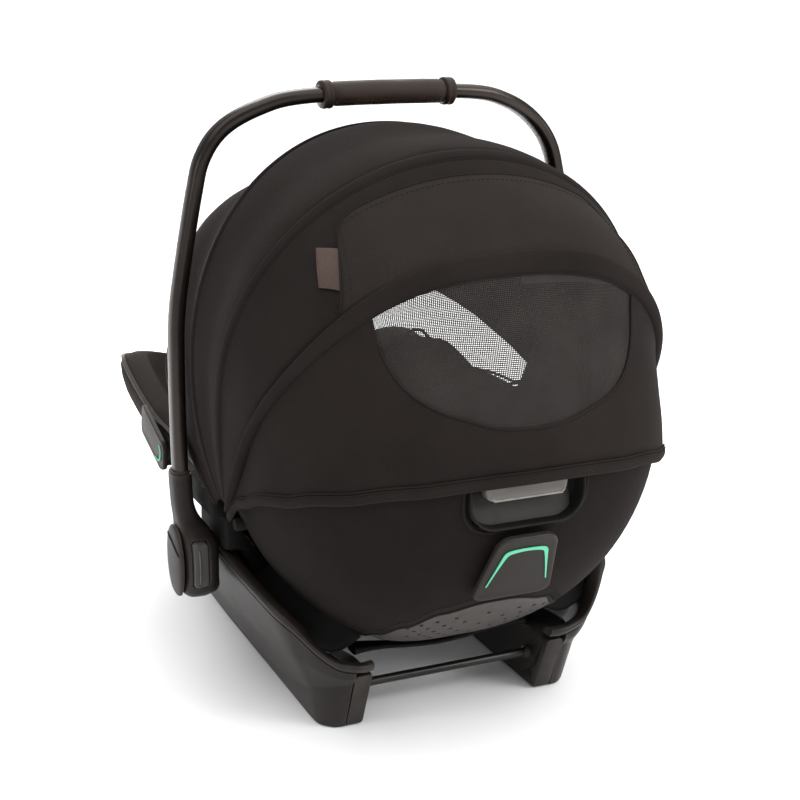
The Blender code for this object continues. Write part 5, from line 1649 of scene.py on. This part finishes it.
def build_channels():
    """Channels over the three hoops, with their seams."""
    for name, tilt, wide, tall, lift, seams in CHANNELS:
        body = "hood_" + name
        band = channel("hood_channel_" + name, tilt, wide, tall, lift)
        dress(band, "hood_hoop_" + name, body)
        for side in seams:
            edge = side * (0.5 * wide + 0.0004)
            path = [hood_at(tilt, -1.0 + k / 60, FABRIC - 0.0002, edge) for k in range(121)]
            dress(join("hood_seam_" + name, [cord("seam", path, 0.0008, PIPING)]), None, body)


def window_x(column):
    return WINDOW_HALF * min(1.0, abs(column) / WINDOW_SHARE)


def lower_point(down, over):
    """Lower rear panel: from the roll or the window's edge down to the hem."""
    column = 2.0 * over - 1.0
    top = window_edge(window_x(column)) if abs(column) < WINDOW_SHARE else ROLL_TILT
    top += (ROLL_TILT + 0.6 - top) * eased(((WINDOW_SHARE, 0.0), (WINDOW_SHARE + 0.02, 1.0)), abs(column))
    return back_point(top + (hem_tilt(column) - top) * down, column)


def net_point(down, over):
    column = (WINDOW_SHARE + 0.004) * (2.0 * over - 1.0)
    return back_point(ROLL_TILT + (window_edge(window_x(column)) + 1.2 - ROLL_TILT) * down, column, 0.0002)


def build_net():
    """Mesh window and its edge binding."""
    net = dress(sheet("hood_net", grid(12, 80, net_point), NET), "hood_window")
    columns = [WINDOW_SHARE * (-1.0 + 2.0 * j / 80) for j in range(81)]
    bind = [back_point(window_edge(window_x(column)) + 0.1, column, FABRIC) for column in columns]
    return [net, dress(cord("hood_net_edge", bind, 0.0008, PIPING))]


def build_roll():
    """Rolled band above the window, a little wrinkled, with a seam under it."""
    rings, under = [], []
    for j in range(BACK_COLUMNS + 1):
        across = -1.0 + 2.0 * j / BACK_COLUMNS
        inward = 1.0 - abs(across)
        end = min(1.0, inward / 0.14)
        half = 0.0060 + 0.0035 * eased(((0.35, 0.0), (0.9, 1.0)), inward)
        half *= 0.45 + 0.55 * math.sin(0.5 * math.pi * end)
        tall = 0.0052 * (0.5 + 0.5 * end) * (1.0 + 0.05 * noise.noise(Vector((across * 7.0, 0.3, 0.0))))
        tilt = ROLL_TILT - 0.4 + 2.2 * eased(((0.35, 1.0), (0.85, 0.0)), inward)
        middle = hood_at(tilt, across, 0.0016)
        out, back = hood_out(tilt, across), hood_back(tilt, across)
        ring = [superellipse(2.0 * math.pi * k / 24, half, tall, 2.4) for k in range(24)]
        ring = [(a, (b if b > 0.0 else 0.5 * b) - 0.0018 * (a / half)) for a, b in ring]
        rings.append([middle + back * a + out * b for a, b in ring])
        under.append(middle + back * (half + 0.0002) - out * 0.0008)
    roll = dress(loft("hood_roll", rings, HOOD, sharp=70.0))
    return [roll, dress(cord("hood_roll_seam", under, 0.0009, PIPING))]


def flap_point(part, over):
    """Flap over the window's upper part, with round upper corners."""
    s = 2.0 * over - 1.0
    corner = max(0.0, (abs(s) - 0.84) / 0.16)
    top = REAR_TILT + 4.2 + 5.0 * (1.0 - math.sqrt(max(0.0, 1.0 - corner * corner)))
    tilt = top + (ROLL_TILT - 0.5 - top) * part
    share = across_of(tilt, flap_half(part) * abs(s))
    lift = FABRIC + 0.0012 + 0.0014 * math.sin(math.pi * min(1.0, part * 1.2))
    return hood_at(tilt, math.copysign(share, s), lift)


def flap_out(point):
    return (point - FLAP_CENTRE).normalized()


def build_flap():
    """Flap with an edging and a row of stitches inside it."""
    rows = grid(14, 60, flap_point)
    flap = dress(sheet("hood_flap", rows, FLAP, 0.0015), "window_flap")
    border = [row[0] for row in reversed(rows)] + rows[0][1:-1] + [row[-1] for row in rows]
    edging = cord("hood_flap_edge", [p + flap_out(p) * 0.0016 for p in border], 0.0009, PIPING)
    inner = [row[2].lerp(row[1], 0.2) for row in reversed(rows[1:])] + rows[1][2:-2]
    inner += [row[-3].lerp(row[-2], 0.2) for row in rows[1:]]
    path, outs = [p + flap_out(p) * 0.0017 for p in inner], [flap_out(p) for p in inner]
    sewn = stitches("hood_flap_stitches", path, outs, PIPING, 0.0028, 0.0046, 0.0008)
    return [flap, dress(edging), dress(sewn)]


def hem_point(column, lift, rise):
    """Point a little above the hem's edge."""
    tilt = hem_tilt(column)
    point = back_point(tilt, column, lift)
    return point + (back_point(tilt - 3.0, column, lift) - point).normalized() * rise


def build_hem():
    """Hem band along the lower edge, with its seams."""
    def band(part, over):
        puff = 0.0016 * math.sin(math.pi * part) ** 0.6 if 0.0 < part < 1.0 else 0.0
        return hem_point(2.0 * over - 1.0, 0.0006 + puff, 0.0082 * part - 0.0008)

    hem = dress(sheet("hood_hem", grid(6, BACK_COLUMNS, band), HOOD, 0.0018))
    columns = [-1.0 + 2.0 * j / BACK_COLUMNS for j in range(BACK_COLUMNS + 1)]
    lines = []
    for rise, lift, radius in HEM_LINES:
        lines.append(cord("line", [hem_point(c, lift, rise) for c in columns], radius, PIPING))
    return [hem, dress(join("hood_hem_piping", lines))]


def tag_point(part, out):
    """Small leather tag, sewn in at the flap's side."""
    tilt = 26.4 + 7.6 * part
    root = across_of(tilt, flap_half((tilt - 25.7) / 11.4) - 0.002)
    return hood_at(tilt - 3.6 * out, root + 0.048 * out, 0.0026 + 0.0016 * math.sin(math.pi * part) * out)


def build_hood():
    """Folding hood: fabric panels over three hoops, mesh window, flap, rolled band, hem and tag."""
    build_channels()
    front = hood_panel("hood_front", FRONT_TILT, MID_TILT, 22)
    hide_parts("hood_front_panel")
    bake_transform(front)
    mid = hood_panel("hood_middle", MID_TILT, REAR_TILT, 14)
    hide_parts("hood_mid_panel")
    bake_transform(mid)
    upper = hood_panel("hood_rear_upper", REAR_TILT, ROLL_TILT + 0.6, 12, BACK_COLUMNS)
    lower = sheet("hood_rear_lower", grid(16, BACK_COLUMNS, lower_point), HOOD, FABRIC)
    dress(lower, "hood_rear_panel")
    net, binding = build_net()
    flap, edging, sewn = build_flap()
    tag = bevelled(sheet("hood_label", grid(8, 6, tag_point), TAG, 0.0014), 0.0004, 2, 60.0)
    dress(tag, "hood_tag")
    for one in [upper, lower, net, binding, flap, edging, sewn, tag] + build_roll() + build_hem():
        bend_rear(one)


# ---------------------------------------------------------------- stage
FLOOR_SIZE, FLOOR_DROP = 150.0, 0.0005
SKY_LIGHT, SKY_ANGLE, SKY_TURN, SKY_ENERGY = 0.34, 100.0, -6.0, 4.0
AIM = Vector((0.0, 0.0, 0.3))
# Name, place, size and power of each soft lamp
LAMPS = (
    ("key", (-1.8, 2.3, 1.6), 1.2, 48.0), ("edge", (2.6, 0.5, 1.3), 0.6, 10.0),
    ("back", (-0.6, -2.0, 1.7), 1.2, 16.0), ("under", (0.05, -1.6, 0.30), 0.5, 9.0),
)
LENS, SENSOR = 68.04, 36.0
CAMERA_PLACE = Vector((0.56949, 1.37449, 0.66047))
CAMERA_RIGHT, CAMERA_UP = Vector((-0.91581, 0.40161, 0.0)), Vector((-0.10637, -0.24257, 0.96429))
CAMERA_LOOK = Vector((-0.38727, -0.88310, -0.26487))


def placed(name, data):
    """A new object in the scene that holds a light or a camera."""
    made = bpy.data.objects.new(name, data)
    bpy.context.scene.collection.objects.link(made)
    return made


def build_stage():
    """Pale floor, soft light and the camera."""
    scene = bpy.context.scene
    corners = ((-1, -1), (1, -1), (1, 1), (-1, 1))
    verts = [Vector((x * FLOOR_SIZE, y * FLOOR_SIZE, -FLOOR_DROP)) for x, y in corners]
    piece("floor", verts, [(0, 1, 2, 3)], floor_finish())
    scene.world = scene.world or bpy.data.worlds.new("studio")
    scene.world.use_nodes = True
    background = scene.world.node_tree.nodes["Background"]
    background.inputs["Color"].default_value = (1.0, 1.0, 1.0, 1.0)
    background.inputs["Strength"].default_value = SKY_LIGHT
    sky = bpy.data.lights.new("sky", "SUN")
    sky.angle = math.radians(SKY_ANGLE)
    sky.energy = SKY_ENERGY
    placed("sky", sky).rotation_euler = (math.radians(SKY_TURN), math.radians(SKY_TURN), 0.0)
    for name, place, size, power in LAMPS:
        light = bpy.data.lights.new(name, "AREA")
        light.size = size
        light.energy = power
        lamp = placed(name, light)
        lamp.location = place
        lamp.rotation_euler = (AIM - Vector(place)).to_track_quat("-Z", "Y").to_euler()
    data = bpy.data.cameras.new("photo_view")
    data.lens = LENS
    data.sensor_width = SENSOR
    data.clip_end = 200.0
    camera = placed("photo_view", data)
    turn = Matrix((CAMERA_RIGHT, CAMERA_UP, -CAMERA_LOOK)).transposed()
    camera.matrix_world = Matrix.Translation(CAMERA_PLACE) @ turn.to_4x4()
    scene.camera = camera
    scene.view_settings.view_transform = "Standard"


def floor_finish():
    make = Finish("floor")
    colour = make.mottled(make.speckle(3.0), (0.93, 0.93, 0.93), (0.95, 0.95, 0.95))
    return make.done(colour, make.varied(make.speckle(60.0), 0.75, 0.85))


def build():
    """Builds the whole look."""
    build_stage()
    fixed = build_tub() + build_seat_cover() + build_cushions() + build_shoulders() + build_buckle()
    fixed += [build_clip()] + build_adjuster() + build_release() + build_guides()
    fixed += build_runners() + build_shade_skirts() + build_beam() + build_hubs()
    for one in fixed:
        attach(one, "seat")
    build_handle()
    build_hood()


build()
